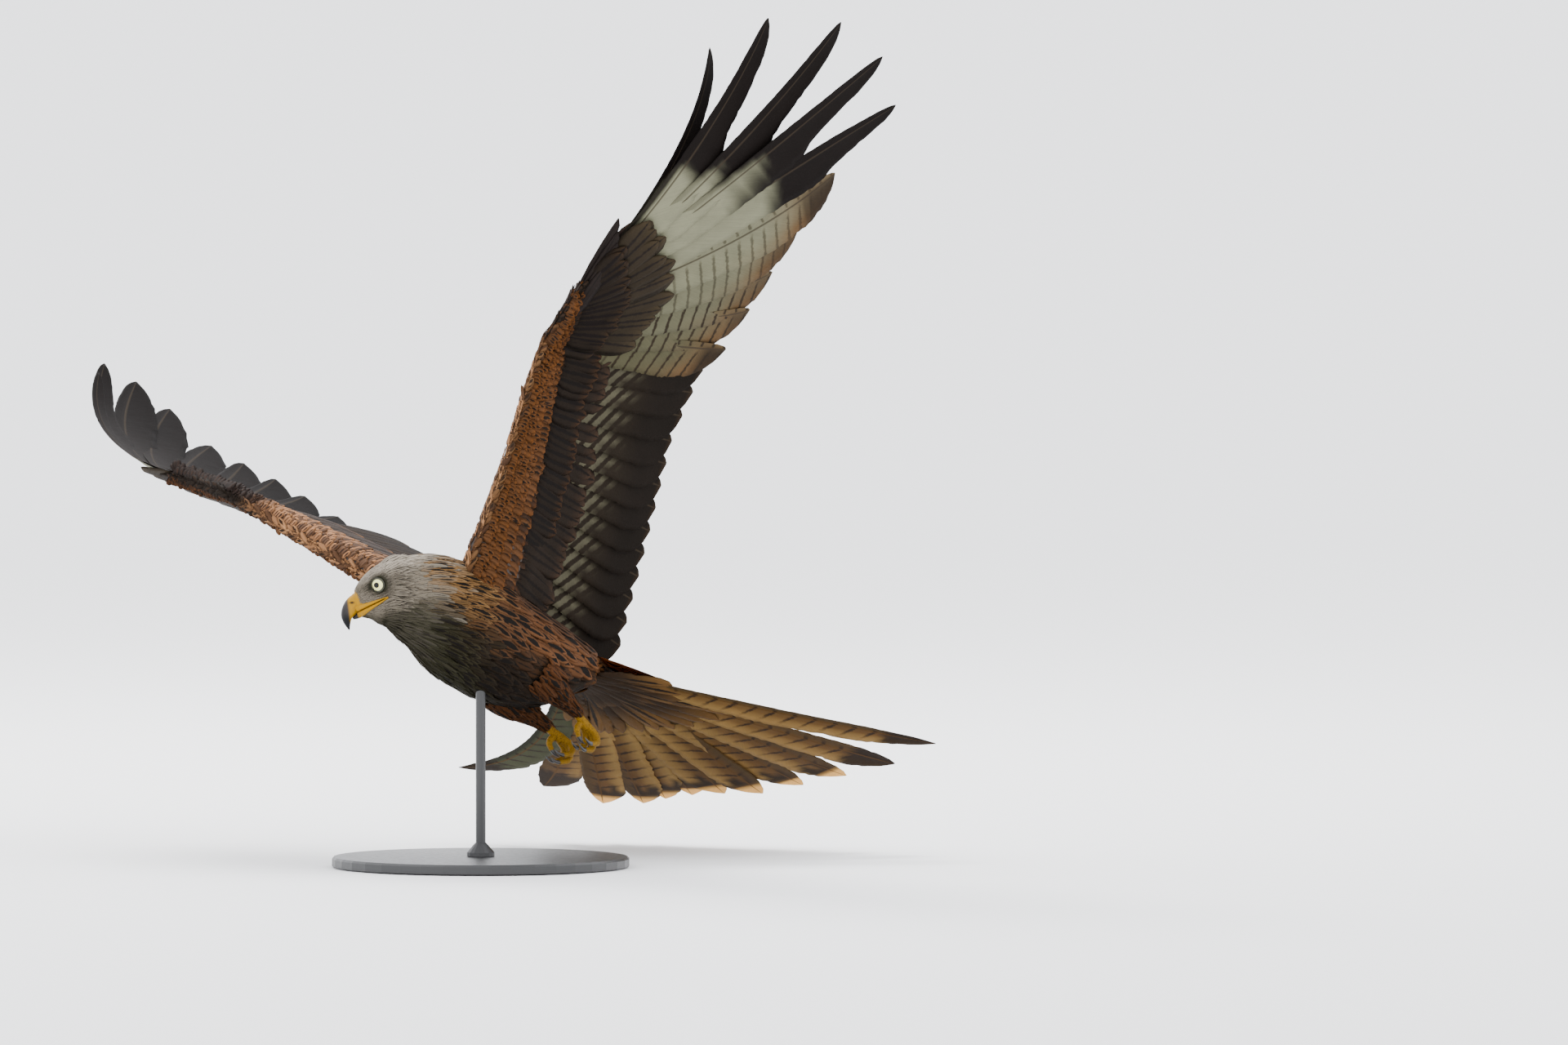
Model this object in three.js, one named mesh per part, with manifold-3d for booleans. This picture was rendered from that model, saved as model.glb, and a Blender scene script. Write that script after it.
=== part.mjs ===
// A red kite in a banked glide, life size, held over a flat base by one rod.
// Millimetres, +Z up. The origin is the centre of the base's underside, and the bird heads towards -Y.
// The bird is modelled level in its own frame, X to its left, Y towards its tail, Z up, and is then banked.
import * as THREE from "three";
import { mergeVertices } from "three/addons/utils/BufferGeometryUtils.js";
import Module from "manifold-3d";

const wasm = await Module();
wasm.setup();
const { Manifold, Mesh: SolidMesh } = wasm;

// Pose of the whole bird
const NOSE_UP_DEG = 23;
const LEFT_SIDE_UP_DEG = 24;
const BODY_ORIGIN_HEIGHT = 238;
const OVER_BASE = [8, -14, -30];

// Clearance between touching pieces
const GAP = 0.3;
const SHORTEST_EDGE = 0.05;

// Stand
const BASE_RADIUS = 150;
const BASE_THICKNESS = 10;
const ROD_RADIUS = 5;
const COLLAR_RADIUS = 14;
const COLLAR_HEIGHT = 12;

// Head, turned to the right and kept level while the body banks
const HEAD_CENTRE = [-28.3, -125.6, -0.4];
const HEAD_TURN_RIGHT_DEG = 54;
const HEAD_DOWN_DEG = 21;
const HEAD_ROLL_LEFT_DEG = 31;
const EYE_RADIUS = 7.6;
const EYE_AHEAD = -3.4;
const EYE_UP = 8.1;
const EYE_SIDE = 16.2;
const GROOVE_DEPTH = 1.2;

// Cuts between torso, neck and head
const NECK_CUT_Y = -68;
const HEAD_CUT_AHEAD = -17;

// Body sections from the tail's root to the bill's base: centre, share of the head's turn,
// degrees that a section leans back, half width and half height
const BODY = [
  { at: [0, 152, 8], turn: 0, lean: 0, half: 18, high: 10 },
  { at: [0, 128, 1], turn: 0, lean: 0, half: 32, high: 24 },
  { at: [0, 90, -9], turn: 0, lean: 0, half: 45, high: 41 },
  { at: [0, 50, -15], turn: 0, lean: 0, half: 53, high: 51 },
  { at: [0, 5, -14], turn: 0, lean: 0, half: 57, high: 56 },
  { at: [0, -35, -9], turn: 0, lean: 0, half: 56, high: 58 },
  { at: [-1, -66, -5], turn: 0.1, lean: 0, half: 50, high: 55 },
  { at: [-6, -90, -2.1], turn: 0.28, lean: 0, half: 43, high: 48.5 },
  { at: [-17, -110.3, 0.5], turn: 0.5, lean: 6, half: 33, high: 39.5 },
  { ahead: -8, up: 0, turn: 0.8, lean: 18, half: 28, high: 34 },
  { ahead: 0, up: 0, turn: 1, lean: 22, half: 25, high: 29.2 },
  { ahead: 7, up: 0.2, turn: 1, lean: 14.5, half: 22.5, high: 25 },
  { ahead: 13.5, up: -0.5, turn: 1, lean: 8, half: 19, high: 20.3 },
  { ahead: 20, up: -2.1, turn: 1, lean: 4, half: 14, high: 15.3 },
  { ahead: 24, up: -3.9, turn: 1, lean: 4, half: 10, high: 12 },
];
const BODY_ROUNDNESS = 2.25;
const BODY_RING_POINTS = 18;
const RINGS_PER_STATION = 2;

// Wings
const SHOULDER = [38, -60, 22];
const ARM_LENGTH = 250;
const HAND_LENGTH = 88;
const LEFT_WING = {
  name: "left", side: 1,
  armUp: 45.6, armForward: 24.7, armTwist: 12.6,
  handUp: 16.9, handForward: 17.5, handTwist: 6,
  primaryFan: [86, 77, 70, 60, 50, 34.5, 27, 21, 12, 11.5],
  primaryLift: [9, 18, 26, 31, 30, 21, 27, 39, 50, 71],
  notches: [0, 0, 0, 0, 0, 0.77, 0.71, 0.65, 0.6, 0.52],
  firstSecondary: 95, lastSecondary: 116,
  front: [[0, 8], [0.25, 0], [0.5, -7], [1, -11], [2, -12]],
};
const RIGHT_WING = {
  name: "right", side: -1,
  armUp: 37.4, armForward: 30, armTwist: 12,
  handUp: 33, handForward: 7.6, handTwist: 0,
  primaryFan: [80, 68, 57, 49, 42, 33, 26, 20, 12, 8],
  primaryLift: [20, 24, 27, 28, 27, 25, 31, 36, 41, 42],
  notches: [0, 0, 0, 0, 0, 0, 0, 0, 0.68, 0.58],
  firstSecondary: 91, lastSecondary: 111,
  front: [[0, 17], [0.5, 14], [1, 9], [1.4, 4], [2, 0]],
};
const PRIMARY_LENGTHS = [215, 230, 251, 278, 316, 391, 404, 394, 349, 290];
const OUTERMOST_WIDTH = 0.65;
const PRIMARY_SET_BACK = 16;
const BACK_SWEEP_DEG = 10;
const FINGER_SWEEP_DEG = 26;
const SECONDARIES = 13;
const SECONDARY_REACH = [222, 205];
const SECONDARY_DROOP = -0.15;
const TERTIAL_SETBACK = 45;
const VANE = 0.9;
const VANE_TILT_DEG = 5.5;
const BEND_STEPS = 3;
const CORE_STEP = 0.25;

// Rows of coverts: the side of the wing that they lie on, their count, the stretch of the wing that they
// grow from (0 shoulder, 1 wrist, 2 hand tip), the share of the core's chord at their roots, and length
const COVERT_ROWS = [
  { face: 1, count: 9, from: 0.05, to: 0.92, set: 0.6, length: 96 },
  { face: -1, count: 9, from: 0.05, to: 0.92, set: 0.6, length: 92 },
  { face: 1, count: 6, from: 1.08, to: 1.9, set: 0.5, length: 98 },
  { face: -1, count: 6, from: 1.08, to: 1.9, set: 0.5, length: 112 },
];
const COVERT_SINK = 1.2;
const COVERT_SETTLE_DEG = 1;
const ALULA_PLACE = 1.45;
const ALULA = [
  { length: 146, off: -6, setBack: 9 }, { length: 112, off: -2, setBack: 13 },
];
const TAIL_COVERTS = [
  { face: 1, count: 4, length: 92 }, { face: -1, count: 4, length: 118 },
];

// Tail, feather by feather from its left edge to its right edge: degrees off the tail's axis,
// degrees that the feather lifts, and degrees that it curls outwards at its tip
const TAIL_ROOT = [0, 147, 7];
const TAIL_YAW_RIGHT_DEG = 20;
const TAIL_UP_DEG = 3;
const TAIL_ROLL_DEG = 10;
const TAIL_ROOT_HALF_WIDTH = 22;
const TAIL_LENGTHS = [345, 341, 331, 320, 310, 304];
const TAIL_FEATHERS = [
  { fan: 49, lift: 3, curl: 0 }, { fan: 34, lift: 5, curl: 0 }, { fan: 23, lift: 5, curl: 0 },
  { fan: 15, lift: 3, curl: 0 }, { fan: 8, lift: 0, curl: 0 }, { fan: 1, lift: 0, curl: 0 },
  { fan: -5, lift: 0, curl: 0 }, { fan: -10, lift: 0, curl: 0 }, { fan: -14, lift: 0, curl: 0 },
  { fan: -21, lift: 1, curl: 0 }, { fan: -27.5, lift: 6, curl: 14 }, { fan: -33.5, lift: 6, curl: 48 },
];
// The tail's fleshy root: distance back, half width and half height
const TAIL_HUB = [[-14, 20, 12], [4, 27, 11], [22, 33, 7], [42, 38, 3]];
const TAIL_COVERT_SPREAD_DEG = 32;
const RECTRIX_STEP_DOWN = 1.1;
const RECTRIX_TILT_DEG = 3;
const RECTRIX_ROOT_DEPTH = 16;

// Legs, tucked back under the tail
const HIP = [29, 34, -38];
const ANKLE = [22, 104, -58];
const FOOT = [18, 126, -69];
const THIGH_RADII = [24, 23, 18, 12, 8];
const TARSUS_RADIUS = 4.6;
const TOE_JOINTS = 3;
const TOE_RADII = [4.1, 3.7, 3.2, 2.7];
const TOES = [
  { length: 34, across: -1, hind: false },
  { length: 40, across: -0.15, hind: false },
  { length: 33, across: 0.9, hind: false },
  { length: 25, across: 0.25, hind: true },
];

const DEG = Math.PI / 180;
const vec = (a) => new THREE.Vector3(...a);
const mix = THREE.MathUtils.lerp;
const clamp = THREE.MathUtils.clamp;
const X = vec([1, 0, 0]);
const Y = vec([0, 1, 0]);
const Z = vec([0, 0, 1]);

// A value read off a short table of [place, value] pairs
function along(table, place) {
  if (place <= table[0][0]) return table[0][1];
  for (let i = 1; i < table.length; i++)
    if (place <= table[i][0]) {
      const [a, va] = table[i - 1];
      const [b, vb] = table[i];
      return mix(va, vb, (place - a) / (b - a));
    }
  return table[table.length - 1][1];
}

// A closed solid from points and triangles, turned to face outwards
function solidFrom(points, faces) {
  const vertProperties = new Float32Array(points.flatMap((p) => [p.x, p.y, p.z]));
  let triVerts = new Uint32Array(faces.flat());
  let made = new Manifold(new SolidMesh({ numProp: 3, vertProperties, triVerts }));
  if (made.volume() < 0) {
    triVerts = new Uint32Array(faces.map(([a, b, c]) => [a, c, b]).flat());
    made = new Manifold(new SolidMesh({ numProp: 3, vertProperties, triVerts }));
  }
  return made;
}

// A solid of a three.js geometry
function solidOf(geometry) {
  const bare = new THREE.BufferGeometry();
  bare.setAttribute("position", geometry.getAttribute("position"));
  bare.setIndex(geometry.getIndex());
  const merged = mergeVertices(bare, 1e-4);
  return new Manifold(
    new SolidMesh({
      numProp: 3,
      vertProperties: new Float32Array(merged.getAttribute("position").array),
      triVerts: new Uint32Array(merged.getIndex().array),
    }),
  );
}

// Joins rings of equal count into a closed solid, each end closed by a fan
function loft(rings) {
  const n = rings[0].length;
  const points = rings.flat();
  const faces = [];
  for (let r = 0; r + 1 < rings.length; r++)
    for (let i = 0; i < n; i++) {
      const j = (i + 1) % n;
      const a = r * n;
      const b = a + n;
      faces.push([a + i, a + j, b + j], [a + i, b + j, b + i]);
    }
  [0, rings.length - 1].forEach((r, end) => {
    const centre = rings[r].reduce((s, p) => s.add(p), vec([0, 0, 0])).divideScalar(n);
    const c = points.push(centre) - 1;
    for (let i = 0; i < n; i++) {
      const j = (i + 1) % n;
      faces.push(end ? [c, r * n + i, r * n + j] : [c, r * n + j, r * n + i]);
    }
  });
  return solidFrom(points, faces);
}

// An oval ring of points about a centre, in the plane of two unit vectors
function oval(centre, across, upward, half, high, count, power = 2) {
  return Array.from({ length: count }, (_, i) => {
    const a = (2 * Math.PI * i) / count;
    const round = (v) => Math.sign(v) * Math.abs(v) ** (2 / power);
    return centre
      .clone()
      .addScaledVector(across, half * round(Math.cos(a)))
      .addScaledVector(upward, high * round(Math.sin(a)));
  });
}

// A round tube through points, with a radius at each
function tube(points, radii, count, grow = 0) {
  const rings = points.map((p, i) => {
    const before = points[Math.max(i - 1, 0)];
    const after = points[Math.min(i + 1, points.length - 1)];
    const ahead = after.clone().sub(before).normalize();
    const across = ahead.clone().cross(Math.abs(ahead.z) > 0.9 ? Y : Z).normalize();
    const upward = across.clone().cross(ahead);
    const centre = p.clone();
    if (i === 0) centre.addScaledVector(ahead, -grow);
    if (i === points.length - 1) centre.addScaledVector(ahead, grow);
    return oval(centre, across, upward, radii[i] + grow, radii[i] + grow, count);
  });
  return loft(rings);
}

// Joins solids, and keeps the largest closed surface with its shortest edges closed up
const join = (solids) => Manifold.union(solids);
function largest(solid) {
  const pieces = solid.simplify(SHORTEST_EDGE).decompose();
  return pieces.reduce((a, b) => (a.volume() > b.volume() ? a : b));
}

// Head frame: back, left and up directions, and a place given ahead, to the side and up
const headTurn = new THREE.Quaternion()
  .setFromAxisAngle(Z, HEAD_TURN_RIGHT_DEG * DEG * -1)
  .multiply(new THREE.Quaternion().setFromAxisAngle(X, HEAD_DOWN_DEG * DEG))
  .multiply(new THREE.Quaternion().setFromAxisAngle(Y, HEAD_ROLL_LEFT_DEG * DEG));
const headLeft = X.clone().applyQuaternion(headTurn);
const headBack = Y.clone().applyQuaternion(headTurn);
const headUp = Z.clone().applyQuaternion(headTurn);
const inHead = (ahead, side, up) =>
  vec(HEAD_CENTRE)
    .addScaledVector(headBack, -ahead)
    .addScaledVector(headLeft, side)
    .addScaledVector(headUp, up);

// The feathered body from the tail's root to the bill's base, with sections eased between the stations
function wholeBody(grow) {
  const centres = BODY.map((s) => (s.at ? vec(s.at) : inHead(s.ahead, 0, s.up)));
  const path = new THREE.CatmullRomCurve3(centres, false, "centripetal");
  const ease = (name, i, t) => {
    const [a, b, c, d] = [-1, 0, 1, 2].map((k) => BODY[clamp(i + k, 0, BODY.length - 1)][name]);
    return b + 0.5 * t * (c - a + t * (2 * a - 5 * b + 4 * c - d + t * (3 * b - a - 3 * c + d)));
  };
  const count = (BODY.length - 1) * RINGS_PER_STATION;
  const rings = Array.from({ length: count + 1 }, (_, k) => {
    const i = Math.min(Math.floor(k / RINGS_PER_STATION), BODY.length - 2);
    const t = k / RINGS_PER_STATION - i;
    const turn = new THREE.Quaternion().slerp(headTurn, clamp(ease("turn", i, t), 0, 1));
    const back = Y.clone().applyQuaternion(turn);
    const centre = path.getPoint((i + t) / (BODY.length - 1));
    if (k === 0) centre.addScaledVector(back, grow);
    if (k === count) centre.addScaledVector(back, -grow);
    const across = X.clone().applyQuaternion(turn);
    const upward = Z.clone().applyQuaternion(turn).applyAxisAngle(across, -ease("lean", i, t) * DEG);
    return oval(
      centre, across, upward, ease("half", i, t) + grow, ease("high", i, t) + grow,
      BODY_RING_POINTS, BODY_ROUNDNESS,
    );
  });
  return loft(rings);
}

// Eyes, lids and brows
const eyeLook = (side) =>
  headLeft.clone().multiplyScalar(side * 0.86).addScaledVector(headBack, -0.48)
    .addScaledVector(headUp, 0.12).normalize();
const eyeCentre = (side) => inHead(EYE_AHEAD, side * EYE_SIDE, EYE_UP);

function eye(side, grow = 0) {
  const ball = new THREE.SphereGeometry(EYE_RADIUS + grow, 12, 8);
  ball.translate(...eyeCentre(side).toArray());
  return solidOf(ball);
}

function lid(side) {
  const ring = new THREE.TorusGeometry(6.6, 1.6, 4, 12);
  ring.applyQuaternion(new THREE.Quaternion().setFromUnitVectors(Z, eyeLook(side)));
  ring.translate(...eyeCentre(side).addScaledVector(eyeLook(side), 3.6).toArray());
  return solidOf(ring);
}

function brow(side) {
  const places = [[-13, 19.5, 17], [-8, 20.6, 17.6], [-1, 20, 16.8], [7, 16.4, 14.2], [15, 11.5, 11]];
  const radii = [2, 3.2, 3.6, 3, 1.8];
  return tube(places.map(([a, s, u]) => inHead(a, side * s, u)), radii, 6);
}

// The line of the mouth, a shallow groove run back from the bill to below the eye
function mouthLines() {
  const slabs = [1, -1].map((side) =>
    loft(
      [[-7, 24, -7.2, 0.3], [10, 19, -8.5, 0.7], [26, 10, -9.7, 0.7]].map(
        ([a, s, u, thin]) => oval(inHead(a, side * s, u), headLeft, headUp, 9, thin, 4, 1),
      ),
    ),
  );
  return join(slabs).subtract(wholeBody(-GROOVE_DEPTH));
}

// Bill sections along its bent axis: ahead, up, half depth, half width
const UPPER_BILL = [
  [21, 0.6, 8.4, 8.8], [26, -0.9, 8.2, 8.4], [30.5, -3.3, 7.6, 7.6], [34, -6.2, 6.7, 6.6],
  [36.7, -9.7, 5.5, 5.2], [38.1, -13.6, 4, 3.8], [38.7, -17.2, 2.7, 2.5], [39, -20.4, 1.5, 1.4],
  [39.2, -23.4, 0.4, 0.4],
];
const LOWER_BILL = [
  [20, -12, 3.9, 8], [25, -13, 3.2, 6.6], [28.6, -13.6, 2.4, 4.6], [31.4, -14.2, 1.2, 2.2],
];

// One half of the bill, lofted across its stations
function billHalf(stations, grow = 0) {
  const rings = stations.map(([ahead, up, deep, wide], i) => {
    const before = stations[Math.max(i - 1, 0)];
    const after = stations[Math.min(i + 1, stations.length - 1)];
    const run = headBack.clone().multiplyScalar(-(after[0] - before[0]))
      .addScaledVector(headUp, after[1] - before[1]).normalize();
    const upward = run.clone().cross(headLeft).normalize();
    return oval(inHead(ahead, 0, up), headLeft, upward, wide + grow, deep + grow, 12, 2.1);
  });
  return loft(rings);
}

function nostril(side) {
  const slot = new THREE.SphereGeometry(1.5, 8, 6);
  slot.scale(1, 1.7, 1);
  slot.applyQuaternion(headTurn);
  slot.translate(...inHead(27, side * 8.1, 1.2).toArray());
  return solidOf(slot);
}

// Wing frames: place 0 is the shoulder, 1 the wrist and 2 the tip of the hand
const CORE_BACK = [[0, 96], [0.25, 92], [0.5, 84], [0.75, 62], [1, 38], [1.3, 26], [1.6, 18], [2, 8]];
const CORE_TOP = [[0, 24], [0.25, 17], [0.5, 14], [0.75, 11], [1, 8.5], [1.5, 6], [2, 2.6]];
const CORE_UNDER = [[0, 20], [0.25, 13], [0.5, 10], [0.75, 8], [1, 6.5], [1.5, 4.4], [2, 2.2]];
const AIRFOIL = [[0.04, 0.55], [0.22, 1], [0.6, 0.78], [1, 0.13]];

function wingAxes(up, forward, twist) {
  const e = vec([
    Math.cos(up * DEG) * Math.cos(forward * DEG),
    -Math.cos(up * DEG) * Math.sin(forward * DEG),
    Math.sin(up * DEG),
  ]);
  const c = Y.clone().addScaledVector(e, -e.y).normalize().applyAxisAngle(e, twist * DEG);
  return { e, c };
}

function wingFrame(wing, place) {
  const arm = wingAxes(wing.armUp, wing.armForward, wing.armTwist);
  const hand = wingAxes(wing.handUp, wing.handForward, wing.handTwist);
  const k = clamp((place - 0.75) / 0.35, 0, 1);
  const e = arm.e.clone().lerp(hand.e, k).normalize();
  const c = arm.c.clone().lerp(hand.c, k);
  c.addScaledVector(e, -c.dot(e)).normalize();
  const n = e.clone().cross(c);
  const wrist = vec(SHOULDER).addScaledVector(arm.e, ARM_LENGTH);
  const p =
    place <= 1
      ? vec(SHOULDER).addScaledVector(arm.e, ARM_LENGTH * place)
      : wrist.addScaledVector(hand.e, HAND_LENGTH * (place - 1));
  return { p, e, c, n };
}

// Half-width of a vane by its share of length, on its leading and trailing side
const SHAPES = {
  quill: {
    lead: [[0, 3], [0.1, 9], [0.8, 12], [0.93, 10], [1, 2.5]],
    trail: [[0, 3], [0.16, 15], [0.35, 31], [0.85, 33], [0.95, 21], [1, 2.5]],
    places: [0, 0.16, 0.4, 0.66, 0.86, 0.95, 1],
  },
  innerPrimary: {
    lead: [[0, 3], [0.1, 6], [0.8, 8], [0.93, 7], [1, 2.5]],
    trail: [[0, 3], [0.16, 16], [0.35, 34], [0.72, 42], [0.86, 37], [0.95, 22], [1, 2.5]],
    places: [0, 0.16, 0.4, 0.66, 0.86, 0.95, 1],
  },
  rectrix: {
    lead: [[0, 3], [0.15, 12], [0.85, 17], [0.95, 12], [1, 1.5]],
    trail: [[0, 3], [0.15, 17], [0.5, 27], [0.88, 29], [0.96, 17], [1, 1.5]],
    places: [0, 0.2, 0.5, 0.84, 0.94, 1],
  },
  outerRectrix: {
    lead: [[0, 3], [0.15, 8], [0.8, 9], [0.93, 7], [1, 1.2]],
    trail: [[0, 3], [0.15, 18], [0.5, 29], [0.8, 26], [0.92, 14], [1, 1.2]],
    places: [0, 0.2, 0.5, 0.8, 0.92, 1],
  },
  covert: {
    lead: [[0, 4], [0.3, 9], [0.75, 9], [1, 2]],
    trail: [[0, 4], [0.3, 10], [0.75, 11], [1, 2]],
    places: [0, 0.35, 0.8, 1],
  },
};

// A fingered primary narrows on its trailing side at a notch
const fingerShape = (notch) => ({
  lead: [[0, 3], [0.08, 8], [notch - 0.05, 10], [notch + 0.05, 10], [0.92, 7], [1, 0.8]],
  trail: [[0, 3], [0.12, 12], [0.3, 31], [notch - 0.05, 37], [notch + 0.06, 23], [0.92, 13], [1, 0.8]],
  places: [0, 0.14, 0.32, notch - 0.05, notch + 0.06, 0.92, 1],
});

// One feather as a thin closed plate.
// bend lifts it towards its upper side by the share of length to that power; sweep turns it in its plane.
function feather({
  root, run, normal, length, shape, bend = 0, power = 2, sweep = 0, sweepPower = 1, tilt = 0,
  wide = 1,
}) {
  const half = VANE / 2;
  const side = normal.clone().cross(run).normalize();
  const rings = [];
  const at = root.clone();
  let last = 0;
  const { places, lead: leading, trail: trailing } = shape;
  for (const place of places) {
    for (let k = 0; k < BEND_STEPS && place > 0; k++) {
      const t = last + ((place - last) * (k + 0.5)) / BEND_STEPS;
      const dir = headingAt(run, side, normal, bend * t ** power, sweep * t ** sweepPower);
      at.addScaledVector(dir, (length * (place - last)) / BEND_STEPS);
    }
    last = place;
    const dir = headingAt(run, side, normal, bend * place ** power, sweep * place ** sweepPower);
    const across = normal.clone().cross(dir).normalize();
    const up = dir.clone().cross(across).normalize();
    const tilted = across.clone().applyAxisAngle(dir, -tilt);
    const upper = up.clone().applyAxisAngle(dir, -tilt);
    const lead = along(leading, place) * wide;
    const trail = along(trailing, place) * wide;
    const edge = (d, h) => at.clone().addScaledVector(tilted, d).addScaledVector(upper, h);
    rings.push([edge(-lead, half), edge(-lead, -half), edge(trail, -half), edge(trail, half)]);
  }
  return loft(rings);
}

// The direction of a feather that starts along run, lifted and turned in its plane by angles
function headingAt(run, side, normal, lift, turn) {
  return run.clone().multiplyScalar(Math.cos(turn)).addScaledVector(side, Math.sin(turn))
    .multiplyScalar(Math.cos(lift)).addScaledVector(normal, Math.sin(lift)).normalize();
}

// The wing's core, a closed loft of airfoil sections between two places
function wingCore(wing, from, to) {
  const places = [];
  for (let q = from; q < to - CORE_STEP / 2; q += CORE_STEP) places.push(q);
  places.push(to);
  return loft(
    places.map((q) => {
      const { p, c, n } = wingFrame(wing, q);
      const front = along(wing.front, q);
      const whole = front + along(CORE_BACK, q);
      const point = (u, h) => p.clone().addScaledVector(c, u * whole - front).addScaledVector(n, h);
      const top = AIRFOIL.map(([u, h]) => point(u, h * along(CORE_TOP, q)));
      const under = AIRFOIL.map(([u, h]) => point(u, -h * along(CORE_UNDER, q)));
      return [point(0, 0), ...top, ...under.reverse()];
    }),
  );
}

// Place, root, direction and length of the flight feathers
function primary(wing, i) {
  const inward = (10 - i) / 9;
  const { p, e, c, n } = wingFrame(wing, 1.12 + 0.88 * (1 - inward));
  const fan = wing.primaryFan[i - 1] * DEG;
  return {
    root: p.addScaledVector(c, PRIMARY_SET_BACK),
    run: e.clone().multiplyScalar(Math.cos(fan)).addScaledVector(c, Math.sin(fan)),
    normal: n,
    length: PRIMARY_LENGTHS[i - 1],
    bend: wing.primaryLift[i - 1] * DEG,
    power: 1.5,
    sweep: (i > 5 ? FINGER_SWEEP_DEG : BACK_SWEEP_DEG) * DEG,
    sweepPower: i > 5 ? 2 : 1,
    wide: i > 9 ? OUTERMOST_WIDTH : 1,
    shape: wing.notches[i - 1] ? fingerShape(wing.notches[i - 1]) : SHAPES.innerPrimary,
  };
}

function secondary(wing, t) {
  const place = 0.98 - 0.93 * t;
  const { p, e, c, n } = wingFrame(wing, place);
  const setIn = along(CORE_BACK, place) - 28;
  const fan = mix(wing.firstSecondary, wing.lastSecondary, t) * DEG;
  return {
    root: p.clone().addScaledVector(c, setIn),
    run: e.clone().multiplyScalar(Math.cos(fan)).addScaledVector(c, Math.sin(fan)),
    normal: n,
    length: mix(...SECONDARY_REACH, t) + TERTIAL_SETBACK * t - setIn,
    bend: SECONDARY_DROOP * Math.min(1, 4 * t),
    power: 1,
    shape: SHAPES.quill,
  };
}

// Degrees that a feather growing at a place on the wing is turned from the bone towards the tail
function fanAt(wing, place) {
  const secondaryFan = mix(wing.firstSecondary, wing.lastSecondary, clamp((0.98 - place) / 0.93, 0, 1));
  const number = clamp(1 + (9 * (place - 1.12)) / 0.88, 1, 10);
  const primaryFan = along(wing.primaryFan.map((fan, i) => [i + 1, fan]), number);
  return mix(secondaryFan, primaryFan, clamp((place - 0.98) / 0.14, 0, 1)) * DEG;
}

// How far the flight feather under a covert has lifted at the covert's tip
function liftAt(wing, place, length) {
  if (place <= 1) return (SECONDARY_DROOP * length) / SECONDARY_REACH[1];
  const number = clamp(1 + (9 * (place - 1.12)) / 0.88, 1, 10);
  const lift = along(wing.primaryLift.map((v, i) => [i + 1, v]), number);
  const whole = along(PRIMARY_LENGTHS.map((v, i) => [i + 1, v]), number);
  return lift * DEG * (length / whole) ** 1.5;
}

// Coverts lie over the roots of the flight feathers, above and below
function coverts(wing, { face, count, from, to, set, length }) {
  return Array.from({ length: count }, (_, i) => {
    const place = mix(from, to, i / (count - 1));
    const { p, e, c, n } = wingFrame(wing, place);
    const front = along(wing.front, place);
    const chord = front + along(CORE_BACK, place);
    const depth = along(face > 0 ? CORE_TOP : CORE_UNDER, place) * along(AIRFOIL, set) - COVERT_SINK;
    const fan = fanAt(wing, place);
    return feather({
      root: p.addScaledVector(c, set * chord - front).addScaledVector(n, face * depth),
      run: e.multiplyScalar(Math.cos(fan)).addScaledVector(c, Math.sin(fan)),
      normal: n,
      length: length * mix(0.86, 1, place / 2),
      bend: liftAt(wing, place, length) - face * COVERT_SETTLE_DEG * DEG,
      power: 1.5,
      shape: SHAPES.covert,
      tilt: VANE_TILT_DEG * DEG,
      wide: 1.15,
    });
  });
}

// The alula's feathers, on the thumb at the wrist's leading edge
function alula(wing) {
  return ALULA.map(({ length, off, setBack }, i) => {
    const { p, e, c, n } = wingFrame(wing, ALULA_PLACE);
    const front = along(wing.front, ALULA_PLACE);
    const fan = off * DEG;
    return feather({
      root: p.addScaledVector(c, setBack - front).addScaledVector(n, -0.5 - 1.2 * i),
      run: e.multiplyScalar(Math.cos(fan)).addScaledVector(c, Math.sin(fan)),
      normal: n,
      length,
      shape: SHAPES.covert,
    });
  });
}

// Primaries and secondaries, each turned a little so that it overlaps its neighbour
function flightFeathers(wing) {
  const tilt = VANE_TILT_DEG * DEG;
  const primaries = PRIMARY_LENGTHS.map((_, i) => feather({ ...primary(wing, i + 1), tilt }));
  const secondaries = Array.from({ length: SECONDARIES }, (_, i) =>
    feather({ ...secondary(wing, i / (SECONDARIES - 1)), tilt }),
  );
  return { primaries, secondaries };
}

// Mirrors the right wing from the left-hand frame it is made in
const handed = (wing, solid) => (wing.side > 0 ? solid : solid.mirror([1, 0, 0]));

// The plane between the innermost primary and the outermost secondary
function wristPlane(wing) {
  const { p, e, n } = wingFrame(wing, 1.04);
  const run = primary(wing, 1).run.clone().add(secondary(wing, 0).run).normalize();
  const normal = run.clone().cross(n).normalize();
  if (normal.dot(e) < 0) normal.negate();
  return { normal, offset: p.dot(normal) };
}

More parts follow.
